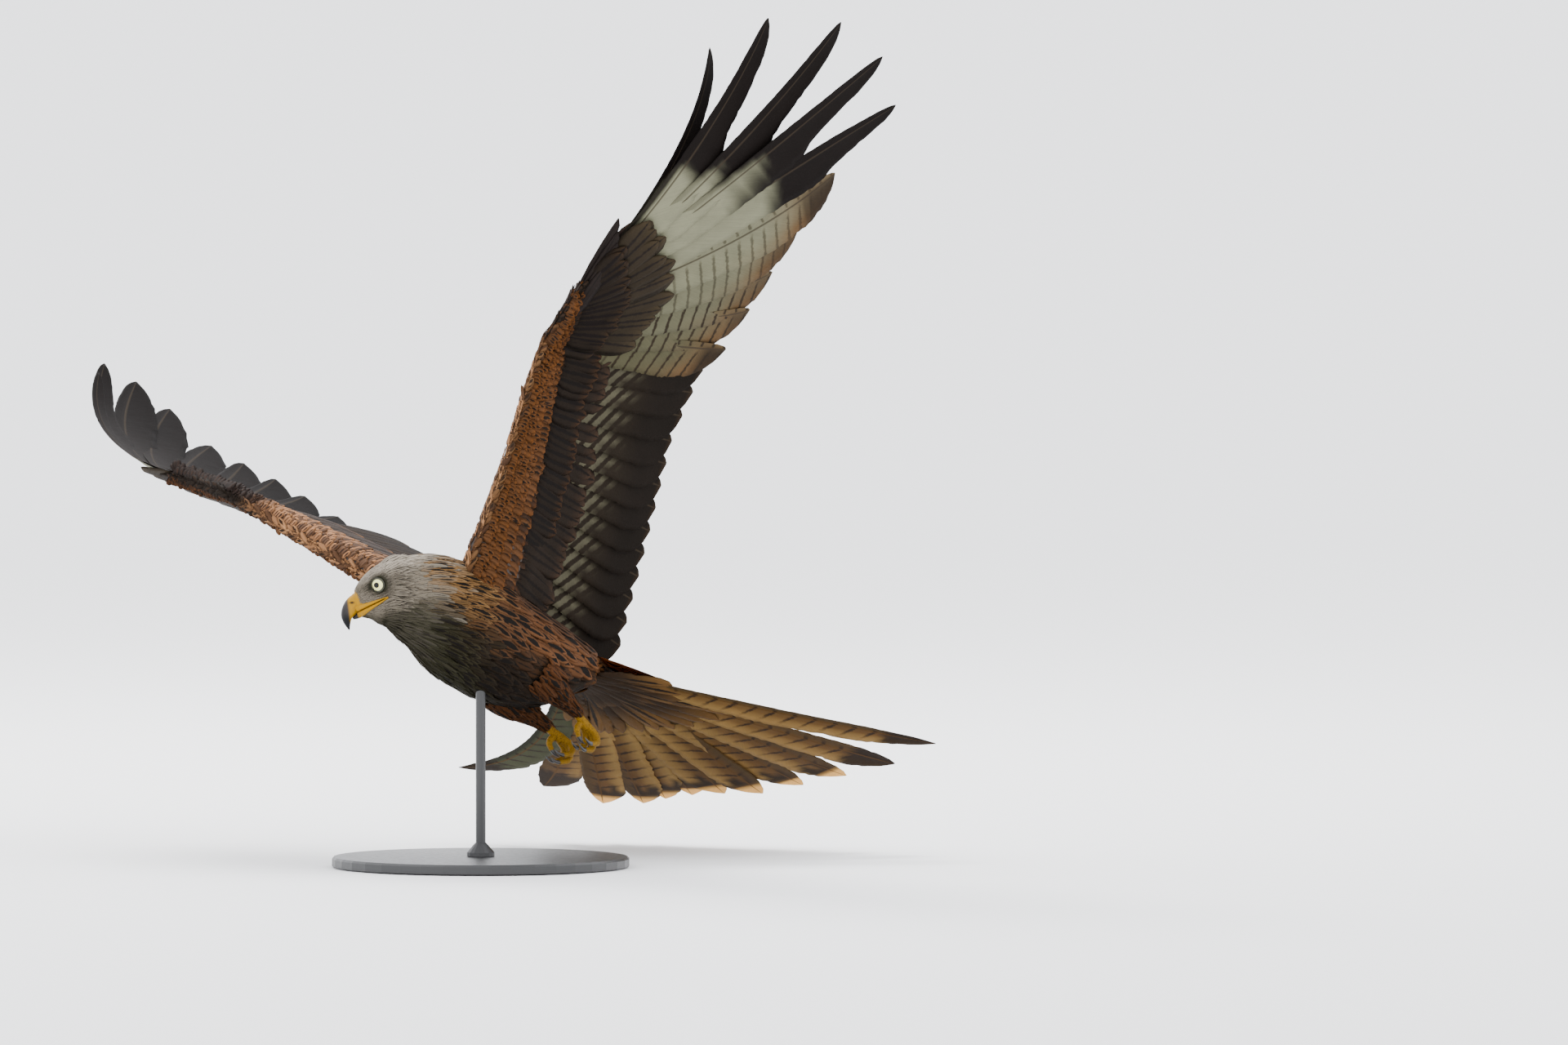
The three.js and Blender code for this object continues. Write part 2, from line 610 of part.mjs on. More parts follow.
// Hand and arm of a wing, parted at the wrist, the arm cut to the body
function wingNodes(wing, bodyGrown) {
  const { primaries, secondaries } = flightFeathers(wing);
  const { normal, offset } = wristPlane(wing);
  const out = normal.toArray();
  const away = normal.clone().negate().toArray();
  const rows = COVERT_ROWS.map((row) => coverts(wing, row));
  const onHand = COVERT_ROWS.flatMap((row, i) => (row.from > 1 ? rows[i] : []));
  const onArm = COVERT_ROWS.flatMap((row, i) => (row.from > 1 ? [] : rows[i]));
  const hand = join([wingCore(wing, 0.9, 2), ...primaries, ...onHand, ...alula(wing)])
    .trimByPlane(out, offset + GAP / 2);
  const arm = join([wingCore(wing, -0.12, 1.2), ...secondaries, ...onArm])
    .trimByPlane(away, -(offset - GAP / 2));
  return {
    [`wing_${wing.name}_hand`]: largest(handed(wing, hand)),
    [`wing_${wing.name}_arm`]: largest(handed(wing, arm).subtract(bodyGrown)),
  };
}

// Tail: a fan of paired feathers, the middle pair on top, with coverts over and under their roots
function tailAxes() {
  const turn = new THREE.Quaternion()
    .setFromAxisAngle(X, TAIL_UP_DEG * DEG)
    .multiply(new THREE.Quaternion().setFromAxisAngle(Z, TAIL_YAW_RIGHT_DEG * DEG))
    .multiply(new THREE.Quaternion().setFromAxisAngle(Y, TAIL_ROLL_DEG * DEG));
  return {
    left: X.clone().applyQuaternion(turn),
    back: Y.clone().applyQuaternion(turn),
    up: Z.clone().applyQuaternion(turn),
  };
}

function tail(bodyGrown) {
  const { left, back, up } = tailAxes();
  const root = vec(TAIL_ROOT);
  const last = TAIL_FEATHERS.length - 1;
  const feathers = TAIL_FEATHERS.map(({ fan, lift, curl }, i) => {
    const across = 1 - (2 * i) / last;
    const pair = Math.min(i, last - i);
    const side = Math.sign(across);
    const run = back.clone().multiplyScalar(Math.cos(fan * DEG)).addScaledVector(left, Math.sin(fan * DEG));
    const drop = RECTRIX_STEP_DOWN * (5 - pair);
    return feather({
      root: root.clone().addScaledVector(left, TAIL_ROOT_HALF_WIDTH * across)
        .addScaledVector(up, 4 - drop).addScaledVector(run, -RECTRIX_ROOT_DEPTH),
      run,
      normal: up.clone().multiplyScalar(side),
      length: TAIL_LENGTHS[pair] + RECTRIX_ROOT_DEPTH,
      bend: side * lift * DEG,
      power: 1,
      sweep: -curl * DEG,
      sweepPower: 3,
      shape: pair === 0 ? SHAPES.outerRectrix : SHAPES.rectrix,
      tilt: side * RECTRIX_TILT_DEG * DEG,
    });
  });
  const hub = loft(
    TAIL_HUB.map(([d, half, high]) =>
      oval(root.clone().addScaledVector(back, d).addScaledVector(up, 1), left, up, half, high, 12),
    ),
  );
  const over = TAIL_COVERTS.flatMap(({ face, count, length }) =>
    Array.from({ length: count }, (_, i) => {
      const across = 1 - (2 * i) / (count - 1);
      const fan = mix(8, TAIL_COVERT_SPREAD_DEG * across, 0.85) * DEG;
      return feather({
        root: root.clone().addScaledVector(left, 20 * across)
          .addScaledVector(up, 1 + face * (9 - 3 * across ** 2)),
        run: back.clone().multiplyScalar(Math.cos(fan)).addScaledVector(left, Math.sin(fan)),
        normal: up,
        length,
        bend: -face * 4 * DEG,
        power: 1,
        wide: 1.5,
        shape: SHAPES.covert,
      });
    }),
  );
  return largest(join([hub, ...feathers, ...over]).subtract(bodyGrown));
}

// Legs
function mirrored(point, side) {
  return vec([point[0] * side, point[1], point[2]]);
}

function thigh(side, grow = 0) {
  const from = mirrored(HIP, side);
  const to = mirrored(ANKLE, side);
  const points = THIGH_RADII.map((_, i) => from.clone().lerp(to, i / (THIGH_RADII.length - 1)));
  return tube(points, THIGH_RADII, 12, grow);
}

// The joints of a clenched toe: front toes curl down and back, the hind toe curls towards them
function toePath(side, toe) {
  const heel = mirrored(FOOT, side);
  const shin = heel.clone().sub(mirrored(ANKLE, side)).normalize();
  const down = Z.clone().negate().addScaledVector(shin, shin.z).normalize();
  const across = shin.clone().cross(down).normalize();
  const points = [heel.addScaledVector(across, 2.4 * toe.across)];
  for (let k = 0; k < TOE_JOINTS; k++) {
    const curl = toe.hind ? 2.6 - 0.95 * k : 0.25 + 0.95 * k;
    const dir = shin.clone().multiplyScalar(Math.cos(curl)).addScaledVector(down, Math.sin(curl))
      .addScaledVector(across, k < 2 ? 0.3 * toe.across : 0).normalize();
    points.push(points[k].clone().addScaledVector(dir, toe.length / TOE_JOINTS));
  }
  return points;
}

function foot(side) {
  const shank = tube(
    [mirrored(ANKLE, side).lerp(mirrored(FOOT, side), -0.12), mirrored(FOOT, side)],
    [TARSUS_RADIUS, TARSUS_RADIUS], 8,
  );
  const pad = tube(
    [-5, 0, 5].map((d) => mirrored(FOOT, side).add(vec([0, d, 0]))), [4.6, 6.2, 4.4], 8,
  );
  const toes = TOES.map((toe) => tube(toePath(side, toe), TOE_RADII, 6));
  return join([shank, pad, ...toes]);
}

function claw(side, toe, grow = 0) {
  const path = toePath(side, toe);
  const tip = path[TOE_JOINTS];
  const dir = tip.clone().sub(path[TOE_JOINTS - 1]).normalize();
  const points = [tip.clone().addScaledVector(dir, -1)];
  for (let k = 1; k <= 3; k++) {
    const bent = dir.clone().applyAxisAngle(X, (toe.hind ? 1 : -1) * 0.38 * k);
    points.push(points[k - 1].clone().addScaledVector(bent, 4.2));
  }
  return tube(points, [2.3, 1.8, 1.1, 0.3].map((r) => r + grow), 6);
}

// Stand, in the frame of the floor
function standBase() {
  const outline = [
    [0, 0], [BASE_RADIUS - 1, 0], [BASE_RADIUS, 1], [BASE_RADIUS, BASE_THICKNESS - 2],
    [BASE_RADIUS - 2, BASE_THICKNESS], [0, BASE_THICKNESS],
  ].map(([r, z]) => new THREE.Vector2(r, z));
  return solidOf(new THREE.LatheGeometry(outline, 40).rotateX(Math.PI / 2));
}

function standRod(top) {
  const foot = BASE_THICKNESS + GAP;
  const outline = [
    [0, foot], [COLLAR_RADIUS, foot], [COLLAR_RADIUS, foot + 4],
    [ROD_RADIUS + 2, foot + COLLAR_HEIGHT], [ROD_RADIUS, foot + COLLAR_HEIGHT + 2],
    [ROD_RADIUS, top], [0, top],
  ].map(([r, z]) => new THREE.Vector2(r, z));
  return solidOf(new THREE.LatheGeometry(outline, 16).rotateX(Math.PI / 2));
}

// The bird's frame, banked and set over the base
const bank = new THREE.Matrix4().makeRotationY(-LEFT_SIDE_UP_DEG * DEG);
const pitch = new THREE.Matrix4().makeRotationX(-NOSE_UP_DEG * DEG);
const stance = pitch.clone().multiply(bank);
const held = vec(OVER_BASE).applyMatrix4(stance);
stance.setPosition(-held.x, -held.y, BODY_ORIGIN_HEIGHT);

// The nodes of the bird, in its own frame
const body = wholeBody(0);
const bodyGrown = wholeBody(GAP);
const headCutNormal = headBack.clone().negate();
const headCut = inHead(HEAD_CUT_AHEAD, 0, 0).dot(headCutNormal);
const ahead = headCutNormal.toArray();
const behind = headBack.toArray();
const nodes = {};

const torso = body.trimByPlane([0, 1, 0], NECK_CUT_Y + GAP / 2);
const front = body.trimByPlane([0, -1, 0], -(NECK_CUT_Y - GAP / 2));
nodes.torso = largest(torso);
nodes.neck = largest(front.trimByPlane(behind, -(headCut - GAP / 2)));
const skull = front.trimByPlane(ahead, headCut + GAP / 2);
nodes.head = largest(
  join([skull, ...[1, -1].flatMap((s) => [lid(s), brow(s)])])
    .subtract(join([eye(1, GAP), eye(-1, GAP), mouthLines()]))
    .subtract(join([billHalf(UPPER_BILL, GAP), billHalf(LOWER_BILL, GAP)])),
);
nodes.bill_upper = largest(
  billHalf(UPPER_BILL).subtract(join([nostril(1), nostril(-1)])),
);
nodes.bill_lower = largest(billHalf(LOWER_BILL).subtract(billHalf(UPPER_BILL, GAP)));
[["left", 1], ["right", -1]].forEach(([name, side]) => {
  nodes[`eye_${name}`] = eye(side);
  nodes[`thigh_${name}`] = largest(thigh(side).subtract(bodyGrown));
});
Object.assign(nodes, wingNodes(LEFT_WING, bodyGrown), wingNodes(RIGHT_WING, bodyGrown));
nodes.tail = tail(bodyGrown);
[["left", 1], ["right", -1]].forEach(([name, side]) => {
  const claws = TOES.map((toe) => claw(side, toe));
  const clawsGrown = join(TOES.map((toe) => claw(side, toe, GAP)));
  nodes[`foot_${name}`] = largest(
    foot(side).subtract(join([thigh(side, GAP), clawsGrown])),
  );
  claws.forEach((c, i) => (nodes[`claw_${name}_${i + 1}`] = largest(c)));
});

// The rod, cut to the torso that it carries
const worldBody = bodyGrown.transform(stance.elements);
const rod = largest(standRod(BODY_ORIGIN_HEIGHT).subtract(worldBody));

// Materials by the first word of a node's name
const COLOURS = {
  torso: 0x6b3c1e, neck: 0x8a7a68, head: 0xb9b4aa, bill: 0x3a3a3c, eye: 0xe8e2b0, thigh: 0x7a4520,
  wing: 0x4a352a, tail: 0xb46a30, foot: 0xd9a21b, claw: 0x1c1a1a, stand: 0x2b2c2e,
};
const material = (name) =>
  new THREE.MeshStandardMaterial({
    color: COLOURS[name.split("_")[0]],
    roughness: name.startsWith("eye") ? 0.15 : 0.75,
    metalness: name.startsWith("stand") ? 0.7 : 0,
  });

function meshOf(name, solid) {
  const { vertProperties, triVerts, numProp, numVert } = solid.getMesh();
  const positions = new Float32Array(numVert * 3);
  for (let i = 0; i < numVert; i++)
    positions.set(vertProperties.subarray(i * numProp, i * numProp + 3), i * 3);
  const geometry = new THREE.BufferGeometry();
  geometry.setAttribute("position", new THREE.BufferAttribute(positions, 3));
  geometry.setIndex(new THREE.BufferAttribute(triVerts, 1));
  const mesh = new THREE.Mesh(geometry, material(name));
  mesh.name = name;
  return mesh;
}

const bird = new THREE.Group();
bird.applyMatrix4(stance);
Object.entries(nodes).forEach(([name, solid]) => bird.add(meshOf(name, solid)));

const model = new THREE.Group();
model.add(bird, meshOf("stand_base", standBase()), meshOf("stand_rod", rod));
export default model;
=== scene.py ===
import bpy
import numpy as np
from mathutils import Matrix, Quaternion, Vector


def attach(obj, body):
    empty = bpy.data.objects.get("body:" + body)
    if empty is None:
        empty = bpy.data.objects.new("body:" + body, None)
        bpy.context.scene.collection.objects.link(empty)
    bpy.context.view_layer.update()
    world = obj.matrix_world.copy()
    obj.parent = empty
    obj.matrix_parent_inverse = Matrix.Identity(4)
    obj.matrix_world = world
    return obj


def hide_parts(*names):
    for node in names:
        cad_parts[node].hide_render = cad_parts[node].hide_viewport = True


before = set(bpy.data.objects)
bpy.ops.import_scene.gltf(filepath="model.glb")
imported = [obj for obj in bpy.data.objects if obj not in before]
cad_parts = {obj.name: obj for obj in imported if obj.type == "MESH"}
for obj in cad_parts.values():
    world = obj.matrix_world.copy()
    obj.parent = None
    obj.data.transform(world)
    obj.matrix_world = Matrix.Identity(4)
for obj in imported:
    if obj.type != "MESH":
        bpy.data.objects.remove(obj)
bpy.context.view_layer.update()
draw = np.random.default_rng(7)

DEG = np.pi / 180
MM = 0.001
X, Y, Z = np.eye(3)
SIDES = {"left": 1, "right": -1}

# Pose
NOSE_UP = 23
LEFT_SIDE_UP = 24
BODY_ORIGIN_HEIGHT = 238
OVER_BASE = [8, -14, -30]

# Head
HEAD_CENTRE = np.array([-28.3, -125.6, -0.4])
HEAD_TURN_RIGHT = 54
HEAD_DOWN = 21
HEAD_ROLL_LEFT = 31
EYE_RADIUS = 7.6
EYE_PLACE = (-5.0, 16.4, 7.8)
IRIS_PLACE = (-3.4, 8.1)
EYE_LOOK = (0.36, 0.92, 0.06)
CORNEA_BULGE = 0.9
LID_RADIUS, LID_HALF_THICKNESS, LID_FORWARD = 6.75, 0.95, 4.5
FACE_HALF_WIDTH = 21.3
BROW_HEIGHT = 15.5
MOUTH_CORNER, MOUTH_END = -8.5, 25.5
LIP_HEIGHT = 1.9
NOSTRIL, NOSTRIL_SIZE, NOSTRIL_SLOPE, NOSTRIL_DEPTH = (26.6, 1.2), (1.9, 1.0), 0.25, 1.6

# Body sections from the tail's root to the bill's base: centre, share of the head's turn,
# backward lean, half width and half height
BODY = [
    ([0, 152, 8], 0, 0, 18, 10),
    ([0, 128, 1], 0, 0, 32, 24),
    ([0, 90, -9], 0, 0, 45, 41),
    ([0, 50, -15], 0, 0, 53, 51),
    ([0, 5, -14], 0, 0, 57, 56),
    ([0, -35, -9], 0, 0, 56, 58),
    ([-1, -66, -5], 0.1, 0, 50, 55),
    ([-6, -90, -2.1], 0.28, 0, 43, 48.5),
    ([-17, -110.3, 0.5], 0.5, 6, 33, 39.5),
    ((-8, 0), 0.8, 18, 28, 34),
    ((0, 0), 1, 22, 25, 29.2),
    ((7, 0.2), 1, 14.5, 22.5, 25),
    ((13.5, -0.5), 1, 8, 19, 20.3),
    ((20, -2.1), 1, 4, 14, 15.3),
    ((24, -3.9), 1, 4, 10, 12),
]
BODY_ROUNDNESS = 2.25
RINGS_PER_STATION = 24
AROUND = 144

# Wings
SHOULDER = np.array([38.0, -60.0, 22.0])
ARM_LENGTH = 250
HAND_LENGTH = 88
LEFT_WING = dict(
    name="left", side=1, arm=(45.6, 24.7, 12.6), hand=(16.9, 17.5, 6),
    fan=[86, 77, 70, 60, 50, 34.5, 27, 21, 12, 11.5],
    lift=[9, 18, 26, 31, 30, 21, 27, 39, 50, 71],
    notches=[0, 0, 0, 0, 0, 0.77, 0.71, 0.65, 0.6, 0.52],
    first_secondary=95, last_secondary=116,
    front=[(0, 8), (0.25, 0), (0.5, -7), (1, -11), (2, -12)],
)
RIGHT_WING = dict(
    name="right", side=-1, arm=(37.4, 30, 12), hand=(33, 7.6, 0),
    fan=[80, 68, 57, 49, 42, 33, 26, 20, 12, 8],
    lift=[20, 24, 27, 28, 27, 25, 31, 36, 41, 42],
    notches=[0, 0, 0, 0, 0, 0, 0, 0, 0.68, 0.58],
    first_secondary=91, last_secondary=111,
    front=[(0, 17), (0.5, 14), (1, 9), (1.4, 4), (2, 0)],
)
PRIMARY_LENGTHS = np.array([215, 230, 251, 278, 316, 391, 404, 394, 349, 290.0])
OUTERMOST_WIDTH = 0.65
PRIMARY_SET_BACK = 16
BACK_SWEEP = 10
FINGER_SWEEP = 26
SECONDARIES = 13
# Places along a wing: 0 at the shoulder, 1 at the wrist, 2 at the end of the hand
PRIMARIES_FROM, PRIMARIES_SPAN = 1.12, 0.88
SECONDARIES_FROM, SECONDARIES_SPAN = 0.98, 0.93
WRIST_SPAN = 0.14
WING_ROOT, WING_END, MAP_END = -0.12, 1.95, 2.2
SECONDARY_REACH = (222, 205)
SECONDARY_DROOP = -0.15
TERTIAL_SETBACK = 45
VANE_TILT = 5.5
CORE_BACK = [(0, 96), (0.25, 92), (0.5, 84), (0.75, 62), (1, 38), (1.3, 26), (1.6, 18), (2, 8)]
CORE_TOP = [(0, 24), (0.25, 17), (0.5, 14), (0.75, 11), (1, 8.5), (1.5, 6), (2, 2.6)]
CORE_UNDER = [(0, 20), (0.25, 13), (0.5, 10), (0.75, 8), (1, 6.5), (1.5, 4.4), (2, 2.2)]
AIRFOIL = [(0, 0), (0.012, 0.3), (0.04, 0.55), (0.11, 0.84), (0.22, 1), (0.4, 0.94), (0.6, 0.78), (1, 0.13)]

# Tail feathers from the left edge to the right edge: fan, lift and curl in degrees
TAIL_ROOT = np.array([0, 147.0, 7])
TAIL_YAW_RIGHT = 20
TAIL_UP = 3
TAIL_ROLL = 10
TAIL_ROOT_HALF_WIDTH = 22
TAIL_LENGTHS = [345, 341, 331, 320, 310, 304]
TAIL_FEATHERS = [
    (49, 3, 0), (34, 5, 0), (23, 5, 0), (15, 3, 0), (8, 0, 0), (1, 0, 0),
    (-5, 0, 0), (-10, 0, 0), (-14, 0, 0), (-21, 1, 0), (-27.5, 6, 14), (-33.5, 6, 48),
]
RECTRIX_STEP_DOWN = 1.1
RECTRIX_TILT = 3
RECTRIX_ROOT_DEPTH = 16

# Legs
HIP = np.array([29.0, 34, -38])
ANKLE = np.array([22.0, 104, -58])
FOOT = np.array([18.0, 126, -69])
THIGH_RADII = [24, 23, 18, 12, 8]
SHANK_RADII = [4.4, 4.4, 4.2, 5.6, 2.4]
TOE_RADII = [4.0, 3.6, 3.1, 2.3]
CLAW_RADII = [2.25, 1.75, 1.05, 0.2]
CLAW_CURL, CLAW_STEP = 0.38, 4.2
# Length, place across and whether it is the hind toe
TOES = [(34, -1, False), (40, -0.15, False), (33, 0.9, False), (25, 0.25, True)]


# How the picture's tone curve shows light: stops of light against the level on the screen,
# with the mixing of the three colours before and after the curve
TONE_PLACES = np.linspace(0.1, 0.95, 200)
TONE_SHOWN = np.polyval([15.5, -40.14, 31.96, -6.868, 0.4298, 0.1191, -0.00232], TONE_PLACES)
TONE_STOPS = 16.5 * TONE_PLACES - 12.474
WIDE = np.array([[0.6274, 0.3293, 0.0433], [0.0691, 0.9195, 0.0113], [0.0164, 0.0880, 0.8956]])
MIX_IN = np.array([[0.8566, 0.0951, 0.0483], [0.1373, 0.7612, 0.1014], [0.1119, 0.0768, 0.8113]])
MIX_OUT = np.array([[1.1271, -0.1106, -0.0165], [-0.1413, 1.1578, -0.0165], [-0.1413, -0.1106, 1.2519]])
ROOM_LIGHT = 2.5


def dye(red, green, blue):
    """A pigment that shows as this screen colour, 0 to 255, in the light of the room."""
    shown = np.array([red, green, blue]) / 255.0
    shown = WIDE @ np.where(shown < 0.04045, shown / 12.92, ((shown + 0.055) / 1.055) ** 2.4)
    level = np.linalg.solve(MIX_OUT, shown ** (1 / 2.2))
    light = 2 ** np.interp(level, TONE_SHOWN, TONE_STOPS)
    light = np.linalg.solve(WIDE, np.linalg.solve(MIX_IN, light))
    return np.clip(light / ROOM_LIGHT, 0.001, 0.92)


def unit(v):
    return v / np.maximum(np.linalg.norm(v, axis=-1, keepdims=True), 1e-12)


def spin(axis, degrees):
    return np.array(Matrix.Rotation(degrees * DEG, 3, Vector(axis)))


def read(table, place):
    xs, ys = zip(*table)
    return np.interp(place, xs, ys)


def smooth(low, high, value):
    t = np.clip((value - low) / (high - low), 0, 1)
    return t * t * (3 - 2 * t)


def hump(start, full, leave, gone, value):
    """Rises from start to full and falls again from leave to gone."""
    return smooth(start, full, value) * (1 - smooth(leave, gone, value))


def circle(count):
    return np.linspace(0, 2 * np.pi, count, endpoint=False)


def fuller(angle, roundness):
    """Cosine and sine of a ring that is fuller than a circle where roundness is over 2."""
    bow = 2 / roundness
    return [np.sign(wave) * np.abs(wave) ** bow for wave in (np.cos(angle), np.sin(angle))]


def mixed(a, b, share):
    """Colours a and b mixed by an array of shares."""
    share = np.asarray(share)[..., None]
    return np.asarray(a) * (1 - share) + np.asarray(b) * share


def opaque(colours):
    """Colours as a mesh attribute holds them."""
    flat = np.asarray(colours).reshape(-1, 3)
    return np.concatenate([flat, np.ones((len(flat), 1))], 1).astype(np.float32)


STANCE = spin(X, -NOSE_UP) @ spin(Y, -LEFT_SIDE_UP)
HELD = STANCE @ np.array(OVER_BASE, float)
STANCE_AT = np.array([-HELD[0], -HELD[1], BODY_ORIGIN_HEIGHT])
HEAD_TURN = spin(Z, -HEAD_TURN_RIGHT) @ spin(X, HEAD_DOWN) @ spin(Y, HEAD_ROLL_LEFT)
HEAD_LEFT, HEAD_BACK, HEAD_UP = HEAD_TURN.T


def in_place(points):
    """Points of the bird's level frame, in metres where the banked bird hangs."""
    return (np.asarray(points) @ STANCE.T + STANCE_AT) * MM


def in_head(ahead, side, up):
    return HEAD_CENTRE - HEAD_BACK * ahead + HEAD_LEFT * side + HEAD_UP * up


def head_place(points):
    """Ahead, side and up in the head's frame of points in the bird's frame."""
    d = points - HEAD_CENTRE
    return -d @ HEAD_BACK, d @ HEAD_LEFT, d @ HEAD_UP


def from_iris(ahead, up):
    return np.hypot(ahead - IRIS_PLACE[0], up - IRIS_PLACE[1])


# Surfaces that feathers grow from: points, outward normals and backward lie on a grid
class Surface:
    def __init__(self, points):
        self.points = points
        along = np.gradient(points, axis=0)
        around = np.roll(points, -1, 1) - np.roll(points, 1, 1)
        self.normals = unit(np.cross(around, along))
        self.lie = unit(-along)
        steps = np.linalg.norm(np.diff(points.mean(1), axis=0), axis=1)
        self.arc = np.concatenate([[0], np.cumsum(steps)])
        edges = np.linalg.norm(np.roll(points, -1, 1) - points, axis=2)
        self.girth = edges.sum(1)
        # equal steps round the girth, so that feathers spread evenly
        self.share = np.concatenate([np.zeros((len(points), 1)), np.cumsum(edges, 1)], 1)
        self.share /= self.share[:, -1:]

    def at(self, ring, turn):
        """Point, normal and lie at ring numbers and shares of a turn."""
        ring = np.clip(ring, 0, len(self.points) - 1.001)
        k = ring.astype(int)
        f = (ring - k)[:, None]
        column = np.array([np.interp(t % 1, self.share[i], np.arange(self.share.shape[1]))
                           for t, i in zip(turn, k)])
        a = column.astype(int) % self.points.shape[1]
        b = (a + 1) % self.points.shape[1]
        g = (column % 1)[:, None]

        def blend(grid):
            low = grid[k, a] * (1 - g) + grid[k, b] * g
            high = grid[k + 1, a] * (1 - g) + grid[k + 1, b] * g
            return low * (1 - f) + high * f

        normal = unit(blend(self.normals))
        lie = blend(self.lie)
        lie = unit(lie - normal * (lie * normal).sum(1, keepdims=True))
        return blend(self.points), normal, lie


def eased(values, place):
    """Catmull-Rom easing of a list of numbers at a place."""
    i = min(int(place), len(values) - 2)
    t = place - i
    a, b, c, d = (values[min(max(i + k, 0), len(values) - 1)] for k in (-1, 0, 1, 2))
    return b + 0.5 * t * (c - a + t * (2 * a - 5 * b + 4 * c - d + t * (3 * b - a - 3 * c + d)))


def path_point(points, place):
    """A point on the centripetal curve through points."""
    i = min(int(place), len(points) - 2)
    t = place - i
    p1, p2 = points[i], points[i + 1]
    p0 = points[i - 1] if i else 2 * p1 - p2
    p3 = points[i + 2] if i + 2 < len(points) else 2 * p2 - p1
    d0, d1, d2 = (np.sqrt(np.linalg.norm(b - a)) for a, b in ((p0, p1), (p1, p2), (p2, p3)))
    m1 = d1 * ((p1 - p0) / d0 - (p2 - p0) / (d0 + d1) + (p2 - p1) / d1)
    m2 = d1 * ((p2 - p1) / d1 - (p3 - p1) / (d1 + d2) + (p3 - p2) / d2)
    return p1 + t * (m1 + t * (-3 * p1 + 3 * p2 - 2 * m1 - m2 + t * (2 * p1 - 2 * p2 + m1 + m2)))


def shaped_face(points, normals):
    """The head's own relief: flat sides about the eyes, brow ridges, lips and the line of the mouth."""
    flat, out = points.reshape(-1, 3), normals.reshape(-1, 3)
    ahead, side, up = head_place(flat)
    apart = from_iris(ahead, up)
    limit = FACE_HALF_WIDTH + 0.03 * np.maximum(apart - 6, 0) ** 2
    near = (1 - smooth(13, 19, apart)) * (ahead > -30)
    over = np.maximum(np.abs(side) - limit, 0) * near
    flat = flat - HEAD_LEFT * (np.sign(side) * over)[:, None]
    lips, line, _ = mouth(ahead, side, up)
    brow = np.exp(-(((up - BROW_HEIGHT + 0.12 * (ahead + 4)) / 2.4) ** 2)) * smooth(-15, -8, ahead) * (
        1 - smooth(8, 18, ahead)) * (np.abs(side) > 8)
    return (flat + out * (0.7 * lips - 1.4 * line + 1.5 * brow)[:, None]).reshape(points.shape)


def mouth(ahead, side, up):
    """Lips, the line between them and the yellow strip about it, as shares."""
    half, line_up = mouth_height(ahead)
    on = smooth(MOUTH_CORNER, -4, ahead) * (np.abs(side) > 3)
    off = np.abs(up - line_up)
    line = np.exp(-((off / 0.6) ** 2)) * on
    lips = np.exp(-(((off - LIP_HEIGHT) / 1.5) ** 2)) * on
    strip = (off < half) & (ahead > -7.5) & (np.abs(side) > 3)
    return lips, line, strip


def body_surface():
    centres = [np.array(c, float) if len(c) == 3 else in_head(c[0], 0, c[1]) for c, *_ in BODY]
    turns, leans, halves, highs = ([row[i] for row in BODY] for i in (1, 2, 3, 4))
    turned = Matrix(HEAD_TURN.tolist()).to_quaternion()
    count = (len(BODY) - 1) * RINGS_PER_STATION
    cos, sin = fuller(circle(AROUND), BODY_ROUNDNESS)
    rings = []
    for k in range(count + 1):
        place = k / RINGS_PER_STATION
        share = min(max(eased(turns, place), 0), 1)
        rot = np.array(Quaternion().slerp(turned, share).to_matrix())
        across = rot @ X
        upward = spin(across, -eased(leans, place)) @ rot @ Z
        centre = path_point(centres, place)
        rings.append(centre + np.outer(cos * eased(halves, place), across)
                     + np.outer(sin * eased(highs, place), upward))
    whole = Surface(np.array(rings))
    return Surface(shaped_face(whole.points, whole.normals))


def thigh_surface(side):
    a, b = HIP * [side, 1, 1], ANKLE * [side, 1, 1]
    steps = np.linspace(1, 0, 40)
    run = unit(b - a)
    across = unit(np.cross(run, Z))
    up = np.cross(across, run)
    angle = circle(48)
    radii = np.interp(steps, np.linspace(0, 1, len(THIGH_RADII)), THIGH_RADII)
    rings = [a + (b - a) * s + r * (np.outer(np.cos(angle), across) + np.outer(np.sin(angle), up))
             for s, r in zip(steps, radii)]
    return Surface(np.array(rings))


# Feathers
# Steps along a primary or a tail feather
VANE_STEPS = 72
# Places across the two webs, from the leading edge over the shaft to the trailing edge
COLUMNS = {
    "fine": [-1, -0.8, -0.55, -0.3, -0.07, 0, 0.07, 0.3, 0.55, 0.8, 1],
    "covert": [-1, -0.5, 0, 0.5, 1],
    "tuft": [-1, 0, 1],
}


